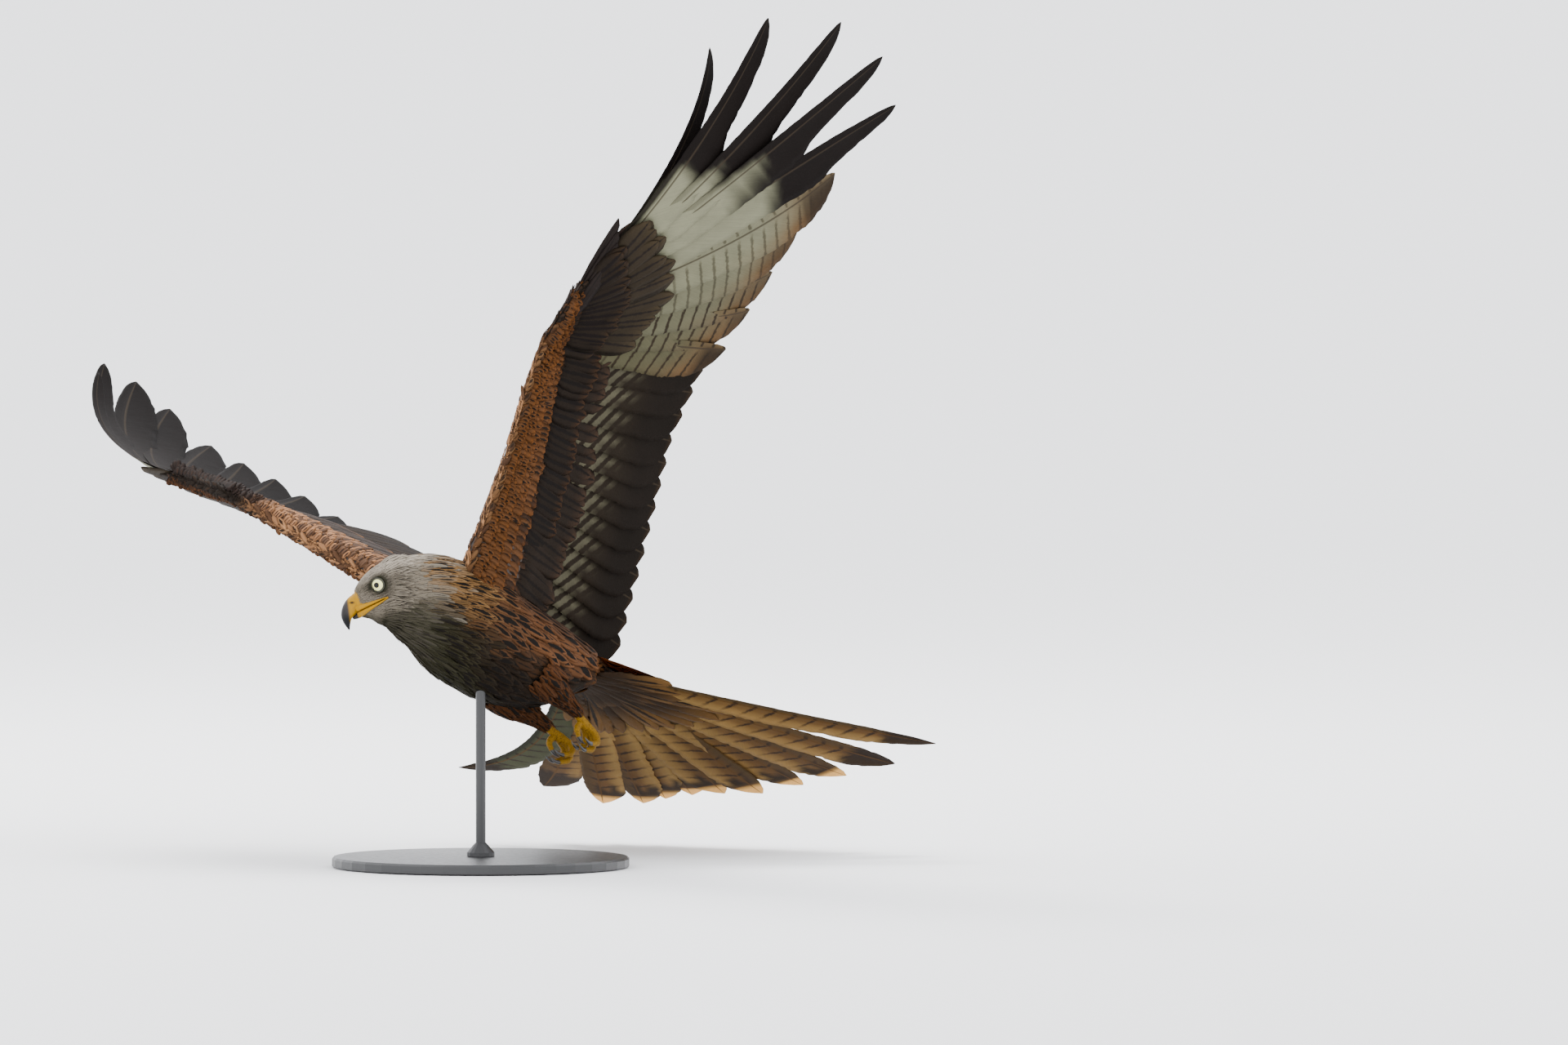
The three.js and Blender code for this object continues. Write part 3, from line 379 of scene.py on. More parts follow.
class Vanes:
    """Many feathers of one make, each a closed thin blade with a shaft ridge."""

    def __init__(self, root, run, up, length, lead, trail, lead_shape, trail_shape, rows, columns,
                 bend=0, power=1, sweep=0, sweep_power=1, tilt=0, camber=0.06, thick=0.3, ridge=0.25,
                 frayed=0.0, side=1):
        n = len(root)
        t = np.asarray(rows, float)
        s = np.array(COLUMNS[columns], float)
        full = lambda v: np.broadcast_to(np.asarray(v, float), (n,))
        length, lead, trail, bend, sweep, tilt = map(full, (length, lead, trail, bend, sweep, tilt))
        up = unit(up - run * (up * run).sum(1, keepdims=True))
        across = np.cross(up, run)
        at = root.copy()
        centre = [at.copy()]
        heads = []

        def heading(place):
            lift = (bend * place ** power)[:, None]
            turn = (sweep * place ** sweep_power)[:, None]
            flat = run * np.cos(turn) + across * np.sin(turn)
            return unit(flat * np.cos(lift) + up * np.sin(lift))

        heads.append(heading(t[0]))
        for a, b in zip(t[:-1], t[1:]):
            at = at + heading((a + b) / 2) * ((b - a) * length)[:, None]
            centre.append(at.copy())
            heads.append(heading(b))
        centre, heads = np.stack(centre, 1), np.stack(heads, 1)
        sides = unit(np.cross(np.broadcast_to(up[:, None], heads.shape), heads))
        ups = np.cross(heads, sides)
        cos, sin = np.cos(tilt)[:, None, None], np.sin(tilt)[:, None, None]
        sides, ups = sides * cos - ups * sin, ups * cos + sides * sin
        lead_w = lead[:, None] * read(lead_shape, t)
        trail_w = trail[:, None] * read(trail_shape, t)
        if frayed:
            lead_w = lead_w * (1 - frayed * draw.random((n, len(t))) ** 2)
            trail_w = trail_w * (1 - frayed * draw.random((n, len(t))) ** 2)
        wide = np.where(s < 0, lead_w[..., None] * -s, trail_w[..., None] * s) * np.sign(s)
        most = np.maximum(lead_w, trail_w)[..., None]
        drop = -camber * wide ** 2 / np.maximum(most, 1e-6)
        half = 0.5 * thick * (1 - 0.6 * np.abs(s))
        taper = (1 - 0.6 * t)[:, None]
        bump = ridge * np.exp(-((s / 0.08) ** 2)) * taper
        top = drop + half + bump
        low = drop - half - 0.6 * bump
        shared = len(s) <= 5
        inner = slice(1, -1) if shared else slice(None)
        cols = np.concatenate([s, s[inner][::-1]])
        high = np.concatenate([top, low[..., inner][..., ::-1]], -1)
        if shared:
            high[..., 0] = drop[..., 0]
            high[..., len(s) - 1] = drop[..., -1]
        span = np.concatenate([wide, wide[..., inner][..., ::-1]], -1)
        self.points = (centre[:, :, None] + sides[:, :, None] * span[..., None]
                       + ups[:, :, None] * high[..., None])
        if side < 0:
            self.points = self.points * np.array([-1, 1, 1])
        self.side = side
        self.t, self.s = t[None, :, None], cols[None, None]
        self.top = np.concatenate([np.ones(len(s)), np.zeros(len(cols) - len(s))])[None, None] > 0.5
        self.from_shaft = np.abs(span)
        self.distance = (length[:, None] * t)[..., None]
        self.length = length[:, None, None]
        self.seed = draw.random(n)[:, None, None]
        self.number = np.arange(n)[:, None, None]
        m = len(cols)
        other = [k if shared and k in (0, len(s) - 1) else (m - k if shared else m - 1 - k)
                 for k in range(len(s))]
        faces = []
        for j in range(len(t) - 1):
            for k in range(m):
                a, b = j * m + k, j * m + (k + 1) % m
                faces += [(a, a + m, b + m), (a, b + m, b)]
        for k in range(len(s) - 1):
            quad = [k, k + 1, other[k + 1], other[k]]
            tip = (len(t) - 1) * m
            for tri in ((quad[0], quad[1], quad[2]), (quad[0], quad[2], quad[3])):
                if len(set(tri)) == 3:
                    faces.append(tri)
                    faces.append(tuple(tip + v for v in tri[::-1]))
        self.faces = np.array(faces)

    def paint(self, ground, mark, bars=0, streak=0, spacing=15, slant=0.9):
        """Ground and marking colours, how strongly bars show, and half the streak's width."""
        shape = self.points.shape[:3]
        fill = lambda v: np.broadcast_to(np.asarray(v, float), shape)
        self.ground = np.broadcast_to(ground, shape + (3,))
        self.mark = np.broadcast_to(mark, shape + (3,))
        order = (self.distance + slant * self.from_shaft) / spacing
        self.pattern = np.stack([fill(bars), fill(streak), fill(order)], -1)
        barb = self.distance - 1.1 * self.from_shaft
        self.vane = np.stack([fill(self.s), fill(barb), fill(self.seed)], -1)
        return self

    def patches(self, centres, size):
        """Lays each feather on its own patch of the bake map."""
        u = centres[:, 0, None, None] + size * 0.5 * self.s
        v = centres[:, 1, None, None] + size * (self.t - 0.5)
        self.bake = np.stack(np.broadcast_arrays(u, v), -1) + np.zeros(self.points.shape[:3] + (1,))
        return self

    def strips(self):
        """Lays the upper and lower side of each feather on a strip of the bake map."""
        n = self.points.shape[0]
        column = 2 * self.number + np.where(self.top, 0, 1)
        u = (column + 0.5 + 0.42 * self.s) / (2 * n)
        v = 0.02 + 0.96 * self.t
        self.bake = np.stack(np.broadcast_arrays(u, v), -1)
        return self


def mesh_piece(name, points, faces, material, replaces, attributes=None, bake=None):
    """One finished piece from points in the bird's frame, riding on the body."""
    mesh = bpy.data.meshes.new(name)
    mesh.vertices.add(len(points))
    mesh.vertices.foreach_set("co", in_place(points).ravel())
    mesh.loops.add(faces.size)
    mesh.loops.foreach_set("vertex_index", faces.ravel())
    mesh.polygons.add(len(faces))
    mesh.polygons.foreach_set("loop_start", np.arange(0, faces.size, faces.shape[1]))
    mesh.polygons.foreach_set("use_smooth", np.ones(len(faces), bool))
    for key, values in (attributes or {}).items():
        kind = "FLOAT_COLOR" if values.shape[1] == 4 else "FLOAT_VECTOR"
        layer = mesh.attributes.new(key, kind, "POINT")
        layer.data.foreach_set("color" if kind == "FLOAT_COLOR" else "vector", values.ravel())
    if bake is not None:
        layer = mesh.uv_layers.new(name="OFBake")
        layer.data.foreach_set("uv", bake[faces.ravel()].astype(np.float32).ravel())
    mesh.update()
    mesh.validate()
    mesh.materials.append(material)
    piece = bpy.data.objects.new(name, mesh)
    bpy.context.scene.collection.objects.link(piece)
    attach(piece, "root")
    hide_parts(*replaces)
    return piece


def feather_piece(name, groups, material, replaces):
    """Joins groups of painted vanes into one piece."""
    points, faces, bake, start = [], [], [], 0
    data = {"ground": [], "mark": [], "pattern": [], "vane": []}
    for g in groups:
        n, rows, m = g.points.shape[:3]
        each = rows * m
        order = g.faces if g.side > 0 else g.faces[:, ::-1]
        faces.append((order[None] + start + each * np.arange(n)[:, None, None]).reshape(-1, 3))
        points.append(g.points.reshape(-1, 3))
        bake.append(g.bake.reshape(-1, 2))
        for key, values in data.items():
            layer = getattr(g, key)
            values.append(opaque(layer) if key in ("ground", "mark") else layer.reshape(-1, 3))
        start += n * each
    attributes = {key: np.concatenate(values).astype(np.float32) for key, values in data.items()}
    mesh_piece(name, np.concatenate(points), np.concatenate(faces), material, replaces,
               attributes, np.concatenate(bake))


def loft_faces(rings, around):
    k, a = np.meshgrid(np.arange(rings - 1), np.arange(around), indexing="ij")
    b = (a + 1) % around
    quads = np.stack([k * around + a, k * around + b, (k + 1) * around + b, (k + 1) * around + a], -1)
    return quads.reshape(-1, 4)


def close_ends(piece):
    """Fills the open ends of a lofted piece and turns its faces outward."""
    bpy.ops.object.select_all(action="DESELECT")
    bpy.context.view_layer.objects.active = piece
    piece.select_set(True)
    bpy.ops.object.mode_set(mode="EDIT")
    bpy.ops.mesh.select_all(action="DESELECT")
    bpy.ops.mesh.select_mode(type="EDGE")
    bpy.ops.mesh.select_non_manifold(extend=False, use_wire=False, use_multi_face=False,
                                     use_non_contiguous=False, use_verts=False)
    bpy.ops.mesh.edge_face_add()
    bpy.ops.mesh.select_all(action="SELECT")
    bpy.ops.mesh.normals_make_consistent(inside=False)
    bpy.ops.object.mode_set(mode="OBJECT")
    piece.select_set(False)


def lofted(name, grids, material, replaces, ground=None, turned=False):
    """One closed piece over one or more grids of rings."""
    points, faces, start = [], [], 0
    for grid in grids:
        points.append(grid.reshape(-1, 3))
        faces.append(loft_faces(*grid.shape[:2]) + start)
        start += len(points[-1])
    faces = np.concatenate(faces)
    close_ends(mesh_piece(name, np.concatenate(points), faces[:, ::-1] if turned else faces, material,
                          replaces, None if ground is None else {"ground": opaque(ground)}))


# Finishes
class Finish:
    """A material and short ways to add its nodes."""

    def __init__(self, name):
        self.material = bpy.data.materials.new(name)
        self.material.use_nodes = True
        self.tree = self.material.node_tree
        self.tree.nodes.clear()

    def node(self, kind, **settings):
        node = self.tree.nodes.new(kind)
        for key, value in settings.items():
            setattr(node, key, value)
        return node

    def put(self, socket, value):
        if isinstance(value, bpy.types.NodeSocket):
            self.tree.links.new(value, socket)
        else:
            socket.default_value = value

    def attribute(self, name, output="Vector"):
        return self.node("ShaderNodeAttribute", attribute_name=name).outputs[output]

    def split(self, vector):
        node = self.node("ShaderNodeSeparateXYZ")
        self.put(node.inputs[0], vector)
        return node.outputs

    def joined(self, x, y, z):
        node = self.node("ShaderNodeCombineXYZ")
        for socket, value in zip(node.inputs, (x, y, z)):
            self.put(socket, value)
        return node.outputs[0]

    def sum(self, operation, a, b=0.0, c=0.0, clamp=False):
        node = self.node("ShaderNodeMath", operation=operation, use_clamp=clamp)
        for socket, value in zip(node.inputs, (a, b, c)):
            self.put(socket, value)
        return node.outputs[0]

    def times(self, a, b, plus=0.0):
        if plus:
            return self.sum("MULTIPLY_ADD", a, b, plus)
        return self.sum("MULTIPLY", a, b)

    def toned(self, base, tone):
        """A colour made darker or lighter by a number."""
        return self.mix(1.0, base, self.joined(tone, tone, tone), "MULTIPLY")

    def fall(self, value, low, high, start=1.0, end=0.0):
        node = self.node("ShaderNodeMapRange", interpolation_type="SMOOTHSTEP")
        for socket, v in zip(node.inputs, (value, low, high, start, end)):
            self.put(socket, v)
        return node.outputs[0]

    def mix(self, share, a, b, blend="MIX"):
        node = self.node("ShaderNodeMix", data_type="RGBA", blend_type=blend)
        self.put(node.inputs[0], share)
        for socket, value in zip((node.inputs[6], node.inputs[7]), (a, b)):
            self.put(socket, value if isinstance(value, bpy.types.NodeSocket) else (*value, 1))
        return node.outputs[2]

    def noise(self, scale, detail=3, vector=None, roughness=0.5):
        node = self.node("ShaderNodeTexNoise")
        if vector is None:
            vector = self.node("ShaderNodeTexCoord").outputs["Object"]
        self.put(node.inputs["Vector"], vector)
        node.inputs["Scale"].default_value = scale
        node.inputs["Detail"].default_value = detail
        node.inputs["Roughness"].default_value = roughness
        return node.outputs[0]

    def bump(self, height, strength, distance):
        node = self.node("ShaderNodeBump")
        node.inputs["Strength"].default_value = strength
        node.inputs["Distance"].default_value = distance
        self.put(node.inputs["Height"], height)
        return node.outputs[0]

    def shade(self, colour, roughness, normal, sockets=(), glow=0.0):
        shader = self.node("ShaderNodeBsdfPrincipled")
        self.put(shader.inputs["Base Color"], colour)
        self.put(shader.inputs["Roughness"], roughness)
        self.put(shader.inputs["Normal"], normal)
        for key, value in dict(sockets).items():
            shader.inputs[key].default_value = value
        out = self.node("ShaderNodeOutputMaterial")
        result = shader.outputs[0]
        if glow:
            through = self.node("ShaderNodeBsdfTranslucent")
            self.put(through.inputs["Color"], colour)
            self.put(through.inputs["Normal"], normal)
            blend = self.node("ShaderNodeMixShader")
            blend.inputs[0].default_value = glow
            self.tree.links.new(result, blend.inputs[1])
            self.tree.links.new(through.outputs[0], blend.inputs[2])
            result = blend.outputs[0]
        self.tree.links.new(result, out.inputs[0])
        return self.material


def feather_finish(name, bar_share, barb_pitch, barb_depth, roughness, glow, shaft, soft=0.06):
    """Ground with bars and shaft streaks, fine barbs, and a little difference from vane to vane."""
    f = Finish(name)
    across, barb, seed = f.split(f.attribute("vane"))
    bars, streak, order = f.split(f.attribute("pattern"))
    grain = f.noise(260, 4)
    wander = f.times(grain, 0.3, -0.15)
    wave = f.sum("FRACT", f.sum("ADD", f.sum("ADD", order, wander), seed))
    away = f.sum("ABSOLUTE", f.sum("SUBTRACT", wave, 0.5))
    bar = f.times(f.fall(away, bar_share - soft, bar_share + soft), bars)
    width = f.sum("ABSOLUTE", across)
    edge = f.sum("ADD", f.sum("SUBTRACT", width, streak), wander)
    line = f.fall(edge, -0.07, 0.07)
    line = f.times(line, f.sum("GREATER_THAN", streak, 0.001))
    marked = f.sum("MAXIMUM", bar, line, clamp=True)
    colour = f.mix(marked, f.attribute("ground", "Color"), f.attribute("mark", "Color"))
    lines = f.noise(1.0, 2, f.joined(f.times(barb, 1 / barb_pitch), f.times(width, 1.5),
                                     f.times(seed, 40)), 0.6)
    tone = f.times(lines, 0.45, 0.78)
    tone = f.times(tone, f.times(seed, 0.16, 0.92))
    tone = f.times(tone, f.times(f.noise(45, 3), 0.4, 0.8))
    colour = f.toned(colour, tone)
    if shaft is not None:
        quill = f.fall(width, 0.03, 0.07)
        colour = f.mix(f.times(quill, 0.75), colour, shaft)
    rough = f.times(lines, 0.25, roughness - 0.12)
    normal = f.bump(lines, 0.55, barb_depth)
    return f.shade(colour, rough, normal, {"Specular IOR Level": 0.04, "Sheen Weight": 0.0}, glow)


flight_finish = feather_finish("flight_vane", 0.1, 0.9, 0.0004, 0.62, 0.28, dye(96, 82, 68))
secondary_finish = feather_finish("barred_vane", 0.27, 0.9, 0.0004, 0.66, 0.18, dye(92, 78, 62))
tail_finish = feather_finish("tail_vane", 0.1, 0.9, 0.0004, 0.62, 0.3, dye(130, 92, 48))
covert_finish = feather_finish("covert_vane", 0.12, 0.8, 0.0004, 0.72, 0.0, None)
plume_finish = feather_finish("body_plume", 0.12, 0.7, 0.0005, 0.8, 0.0, None)


# Wings
def wing_axes(up, forward, twist):
    e = np.array([np.cos(up * DEG) * np.cos(forward * DEG), -np.cos(up * DEG) * np.sin(forward * DEG),
                  np.sin(up * DEG)])
    return e, spin(e, twist) @ unit(Y - e * e[1])


def wing_frame(wing, place):
    """Bone point, outward, backward and upward directions at places from shoulder to hand tip."""
    place = np.atleast_1d(np.asarray(place, float))
    arm_e, arm_c = wing_axes(*wing["arm"])
    hand_e, hand_c = wing_axes(*wing["hand"])
    k = np.clip((place - 0.75) / 0.35, 0, 1)[:, None]
    e = unit(arm_e * (1 - k) + hand_e * k)
    c = arm_c * (1 - k) + hand_c * k
    c = unit(c - e * (c * e).sum(1, keepdims=True))
    q = place[:, None]
    p = SHOULDER + arm_e * ARM_LENGTH * np.minimum(q, 1) + hand_e * HAND_LENGTH * np.maximum(q - 1, 0)
    return p, e, c, np.cross(e, c)


def at_primary(values, place):
    """A value of the nearest primaries at a place."""
    number = np.clip(1 + 9 * (place - PRIMARIES_FROM) / PRIMARIES_SPAN, 1, 10)
    return np.interp(number, np.arange(1, 11), values)


def fan_at(wing, place):
    """Angle from the bone to a feather that grows at a place."""
    inner = wing["first_secondary"] + (wing["last_secondary"] - wing["first_secondary"]) * np.clip(
        (SECONDARIES_FROM - place) / SECONDARIES_SPAN, 0, 1)
    k = np.clip((place - SECONDARIES_FROM) / WRIST_SPAN, 0, 1)
    return (inner * (1 - k) + at_primary(wing["fan"], place) * k) * DEG


def flight_lift(wing, place, length):
    lift = at_primary(wing["lift"], place) * DEG
    whole = at_primary(PRIMARY_LENGTHS, place)
    return np.where(place <= 1, SECONDARY_DROOP * length / SECONDARY_REACH[1],
                    lift * (length / whole) ** 1.5)


QUILL_LEAD = [(0, 3), (0.1, 9), (0.8, 12), (0.9, 10.5), (0.96, 8), (0.985, 5), (1, 1)]
QUILL_TRAIL = [(0, 3), (0.16, 15), (0.35, 31), (0.82, 34), (0.9, 31), (0.95, 24), (0.98, 15), (1, 1)]
INNER_LEAD = [(0, 3), (0.1, 6), (0.8, 8), (0.93, 6.5), (0.985, 4), (1, 1)]
INNER_TRAIL = [(0, 3), (0.16, 16), (0.35, 34), (0.72, 42), (0.86, 38), (0.93, 29), (0.98, 15), (1, 1)]


def finger_shapes(notch):
    lead = [(0, 3), (0.08, 8), (notch - 0.05, 10), (notch + 0.05, 9.5), (0.88, 8), (0.95, 6),
            (0.985, 3.5), (1, 0.8)]
    trail = [(0, 3), (0.12, 12), (0.3, 31), (notch - 0.07, 37), (notch - 0.02, 33), (notch + 0.015, 26),
             (notch + 0.06, 22), (0.9, 16), (0.96, 11), (0.985, 6), (1, 0.8)]
    return lead, trail


GREY_WHITE = dye(176, 174, 158)
BROWN_BLACK = dye(40, 32, 29)
BUFF = dye(150, 122, 92)
BAR_BROWN = dye(76, 60, 44)
UPPER_QUILL, UPPER_TIP, UPPER_BAR = dye(58, 47, 42), dye(44, 37, 35), dye(38, 33, 32)
DULL_WEB, INNER_WEB, INNER_TIP = dye(134, 130, 112), dye(128, 122, 98), dye(64, 50, 38)
# For the five fingers, where the dark tip starts; for the five inner primaries, how dull the web
# and how dark the tip is
FINGER_DARK_FROM = (0.62, 0.56, 0.52, 0.5, 0.44)
WEB_DULL = (0.95, 0.85, 0.65, 0.45, 0.3)
TIP_DARK = (0.85, 0.6, 0.4, 0.55, 0.9)


def primaries(wing):
    groups = []
    for i in range(1, 11):
        p, e, c, n = wing_frame(wing, PRIMARIES_FROM + PRIMARIES_SPAN * (i - 1) / 9)
        fan = wing["fan"][i - 1] * DEG
        notch = wing["notches"][i - 1]
        finger = i > 5
        lead, trail = finger_shapes(notch) if notch else (INNER_LEAD if i < 5 else QUILL_LEAD, INNER_TRAIL)
        wide = OUTERMOST_WIDTH if i > 9 else 1
        v = Vanes(p + c * PRIMARY_SET_BACK, e * np.cos(fan) + c * np.sin(fan), n, PRIMARY_LENGTHS[i - 1],
                  wide, wide, lead, trail, np.linspace(0, 1, VANE_STEPS), "fine",
                  bend=wing["lift"][i - 1] * DEG, power=1.5,
                  sweep=(FINGER_SWEEP if finger else BACK_SWEEP) * DEG, sweep_power=2 if finger else 1,
                  tilt=VANE_TILT * DEG, camber=0.05, thick=0.5, ridge=0.7, frayed=0.06,
                  side=wing["side"])
        t, s = v.t, v.s
        ragged = 0.03 * np.sin(23 * t + 5 * i) + 0.02 * draw.random((1, t.shape[1], 1))
        upper = mixed(UPPER_QUILL, UPPER_TIP, smooth(0.3, 0.9, t))
        if finger:
            dark_from = FINGER_DARK_FROM[i - 6]
            dark = smooth(dark_from - 0.05, dark_from + 0.06, t + ragged + 0.06 * np.abs(s))
            dark = np.maximum(dark, smooth(0.15, 0.5, -s) * 0.9 * (i > 8))
            web = mixed(GREY_WHITE, DULL_WEB, 0.6 * (1 - smooth(-0.7, 0.1, s)))
            under = mixed(web, BROWN_BLACK, dark)
            bars = 0.0
        else:
            edge = smooth(0.35, 0.95, s) * smooth(0.45, 0.85, t)
            web = mixed(GREY_WHITE, INNER_WEB, WEB_DULL[i - 1])
            under = mixed(web, BUFF, np.clip(0.6 * edge + 0.7 * smooth(0.66, 0.9, t), 0, 1))
            under = mixed(under, INNER_TIP,
                          smooth(0.8, 0.95, t + ragged) * TIP_DARK[i - 1] * smooth(-1, 0.4, s))
            bars = smooth(0.25, 0.4, t) * (0.95 if i < 4 else 0.6) * smooth(0.05, 0.25, np.abs(s))
        ground = np.where(v.top[..., None], upper, under)
        mark = np.where(v.top[..., None], UPPER_BAR, BAR_BROWN)
        groups.append(v.paint(ground, mark, bars=np.where(v.top, 0.25, 1) * bars, spacing=15, slant=0.15))
    return stacked(groups)


def stacked(groups):
    """Vanes of one layout and size of grid put together, each with its own strip."""
    first = groups[0]
    for key in ("ground", "mark", "pattern", "vane", "points"):
        setattr(first, key, np.concatenate([getattr(g, key) for g in groups]))
    first.number = np.arange(len(groups))[:, None, None]
    return first.strips()


def secondaries(wing):
    t_row = np.linspace(0, 1, SECONDARIES)
    place = SECONDARIES_FROM - SECONDARIES_SPAN * t_row
    p, e, c, n = wing_frame(wing, place)
    set_in = read(CORE_BACK, place) - 28
    first, last = wing["first_secondary"], wing["last_secondary"]
    fan = (first + (last - first) * t_row)[:, None] * DEG
    length = (SECONDARY_REACH[0] + (SECONDARY_REACH[1] - SECONDARY_REACH[0]) * t_row
              + TERTIAL_SETBACK * t_row - set_in)
    v = Vanes(p + c * set_in[:, None], e * np.cos(fan) + c * np.sin(fan), n, length, 1, 1,
              QUILL_LEAD, QUILL_TRAIL, np.linspace(0, 1, 56), "fine",
              bend=SECONDARY_DROOP * np.minimum(1, 4 * t_row),
              tilt=VANE_TILT * DEG, camber=0.06, thick=0.45, ridge=0.5, frayed=0.05, side=wing["side"])
    t, s = v.t, v.s
    along = v.distance / v.length
    show = smooth(0.05, 0.15, along) * (1 - smooth(0.5, 0.66, along + 0.06 * np.sin(9 * s)))
    pale = smooth(0, 0.25, s) * show
    under = mixed(dye(58, 46, 34), dye(42, 33, 26), smooth(0.6, 0.85, t))
    under = mixed(under, dye(104, 80, 58), smooth(0.965, 1, t) * 0.5)
    upper = mixed(dye(78, 60, 48), dye(58, 46, 39), smooth(0.4, 0.9, t))
    upper = mixed(upper, dye(150, 124, 98), smooth(0.95, 1, t) * 0.7)
    ground = np.where(v.top[..., None], upper, under)
    mark = np.where(v.top[..., None], dye(48, 38, 33), dye(126, 120, 102))
    v.paint(ground, mark, bars=np.where(v.top, 0.5 * show, pale), spacing=15.5, slant=0.75)
    return v.strips()


COVERT_SHAPE = [(0, 0.3), (0.25, 0.9), (0.6, 1), (0.82, 0.92), (0.93, 0.66), (1, 0.12)]
LANCE_SHAPE = [(0, 0.4), (0.25, 0.95), (0.5, 1), (0.75, 0.7), (0.92, 0.32), (1, 0.04)]
PLUME_SHAPE = [(0, 0.4), (0.25, 0.95), (0.55, 1), (0.8, 0.8), (0.94, 0.42), (1, 0.05)]
ROUND_SHAPE = [(0, 0.4), (0.3, 0.95), (0.6, 1), (0.85, 0.8), (0.95, 0.5), (1, 0.1)]
COVERT_ROWS = np.array([0, 0.3, 0.55, 0.75, 0.88, 0.96, 1])
TUFT_ROWS = np.array([0, 0.35, 0.68, 0.9, 1])


def wing_face(wing, place, behind, face):
    """Height of the wing's surface over the bone plane, and its slope, behind the leading edge."""
    chord = read(wing["front"], place) + read(CORE_BACK, place)
    deep = read(CORE_TOP if face > 0 else CORE_UNDER, place)
    high = lambda d: deep * read(AIRFOIL, np.clip(d, 0, chord) / chord)
    step = 1.0
    return high(behind), (high(behind + step) - high(np.maximum(behind - step, 0))) / (
        step + np.minimum(behind, step))


def covert_row(wing, face, from_place, to_place, count, behind, length, half_width, tip_height=None,
               columns="covert"):
    """A row of coverts. Behind, length and width may be tables over the wing's places."""
    value = lambda v, q: read(v, q) if isinstance(v, list) else np.full_like(q, v)
    place = np.linspace(from_place, to_place, count)
    place = place + draw.normal(0, 0.12, count) * (to_place - from_place) / count
    p, e, c, n = wing_frame(wing, place)
    back = value(behind, place) + draw.normal(0, 0.8, count)
    high, slope = wing_face(wing, place, back, face)
    size = value(length, place) * draw.uniform(0.94, 1.06, count)
    fan = fan_at(wing, place) + draw.normal(0, 2.5, count) * DEG
    slope = np.clip(slope, -0.6, 1.6)
    out = n * face
    root = p + c * (back - read(wing["front"], place))[:, None] + out * (high - 1.0)[:, None]
    flat = e * np.cos(fan)[:, None] + c * np.sin(fan)[:, None]
    if tip_height is None:
        climb = slope * 0.85 + 0.01
    else:
        climb = (tip_height - high) / size
    climb = np.maximum(climb, (2.5 - high) / size)
    run = unit(flat + out * climb[:, None])
    up = unit(out - c * np.clip(slope, 0, 1.6)[:, None])
    lift = face * flight_lift(wing, place, size) - 3 * DEG
    half = value(half_width, place)
    tuft = columns == "tuft"
    rows, tilt, camber, thick = (TUFT_ROWS, 0, 0.05, 0.1) if tuft else (COVERT_ROWS, 4, 0.1, 0.22)
    v = Vanes(root, run, up, size, half, half, COVERT_SHAPE, COVERT_SHAPE, rows, columns, bend=lift,
              power=1.2, tilt=tilt * DEG, camber=camber, thick=thick, ridge=0.03, frayed=0.12,
              side=wing["side"])
    v.place = place[:, None, None]
    u = 0.02 + 0.96 * place / MAP_END
    w = 0.02 + 0.9 * np.clip(back, 0, 110) / 110
    v.patches(np.stack([u, w], 1), 0.012)
    return v


RUST = dye(132, 92, 62)
DARK_COVERT = dye(50, 38, 29)
PALE_EDGE, PALE_RIM = dye(176, 140, 112), dye(202, 172, 144)
LESSER_DEPTH = [(WING_ROOT, 60), (0.5, 50), (0.8, 36), (1, 24), (1.5, 14), (2, 8)]
# Share of that depth and length of each row of small coverts
UNDER_LESSER = [(0.88, 27), (0.76, 24), (0.65, 22), (0.54, 20), (0.44, 18), (0.34, 17), (0.25, 15),
                (0.16, 13), (0.09, 11), (0.04, 9), (0.015, 8)]
UPPER_LESSER = [(0.9, 32), (0.78, 28), (0.66, 25), (0.55, 22), (0.44, 20), (0.34, 18), (0.25, 16),
                (0.16, 14), (0.09, 12), (0.04, 10)]


def under_rows(near):
    """Greater and median coverts: span, count, depth, length, half width and height of the tips,
    then the colours of ground, tip and streak, the tip's share and the streak's width."""
    return [
        (0.0, 1.0, 25, [(0, 62), (0.5, 56), (0.8, 42), (1, 28)], [(0, 74), (0.6, 72), (1, 62)], 14, 8.5,
         DARK_COVERT, dye(96, 70, 52), dye(30, 22, 18), 0.7, 0.12),
        (1.0, 1.97, 17, [(1, 26), (1.5, 18), (2, 10)],
         [(1, 68), (1.5, 104 if near else 84), (2, 108 if near else 54)], 16, 11,
         dye(66, 54, 40), dye(98, 82, 60), dye(38, 30, 26), 0.6, 0.1),
        (0.0, 1.0, 28, [(0, 54), (0.5, 46), (0.8, 34), (1, 24)], 50, 11, 9.5,
         dye(42, 31, 23), dye(96, 62, 36), dye(26, 19, 16), 0.7, 0.2),
        (1.0, 1.95, 20, [(1, 20), (1.5, 12), (2, 6)], [(1, 44), (1.5, 62), (2, 66)], 12, 10,
         dye(46, 35, 26), dye(84, 60, 38), dye(28, 20, 18), 0.6, 0.2),
    ]


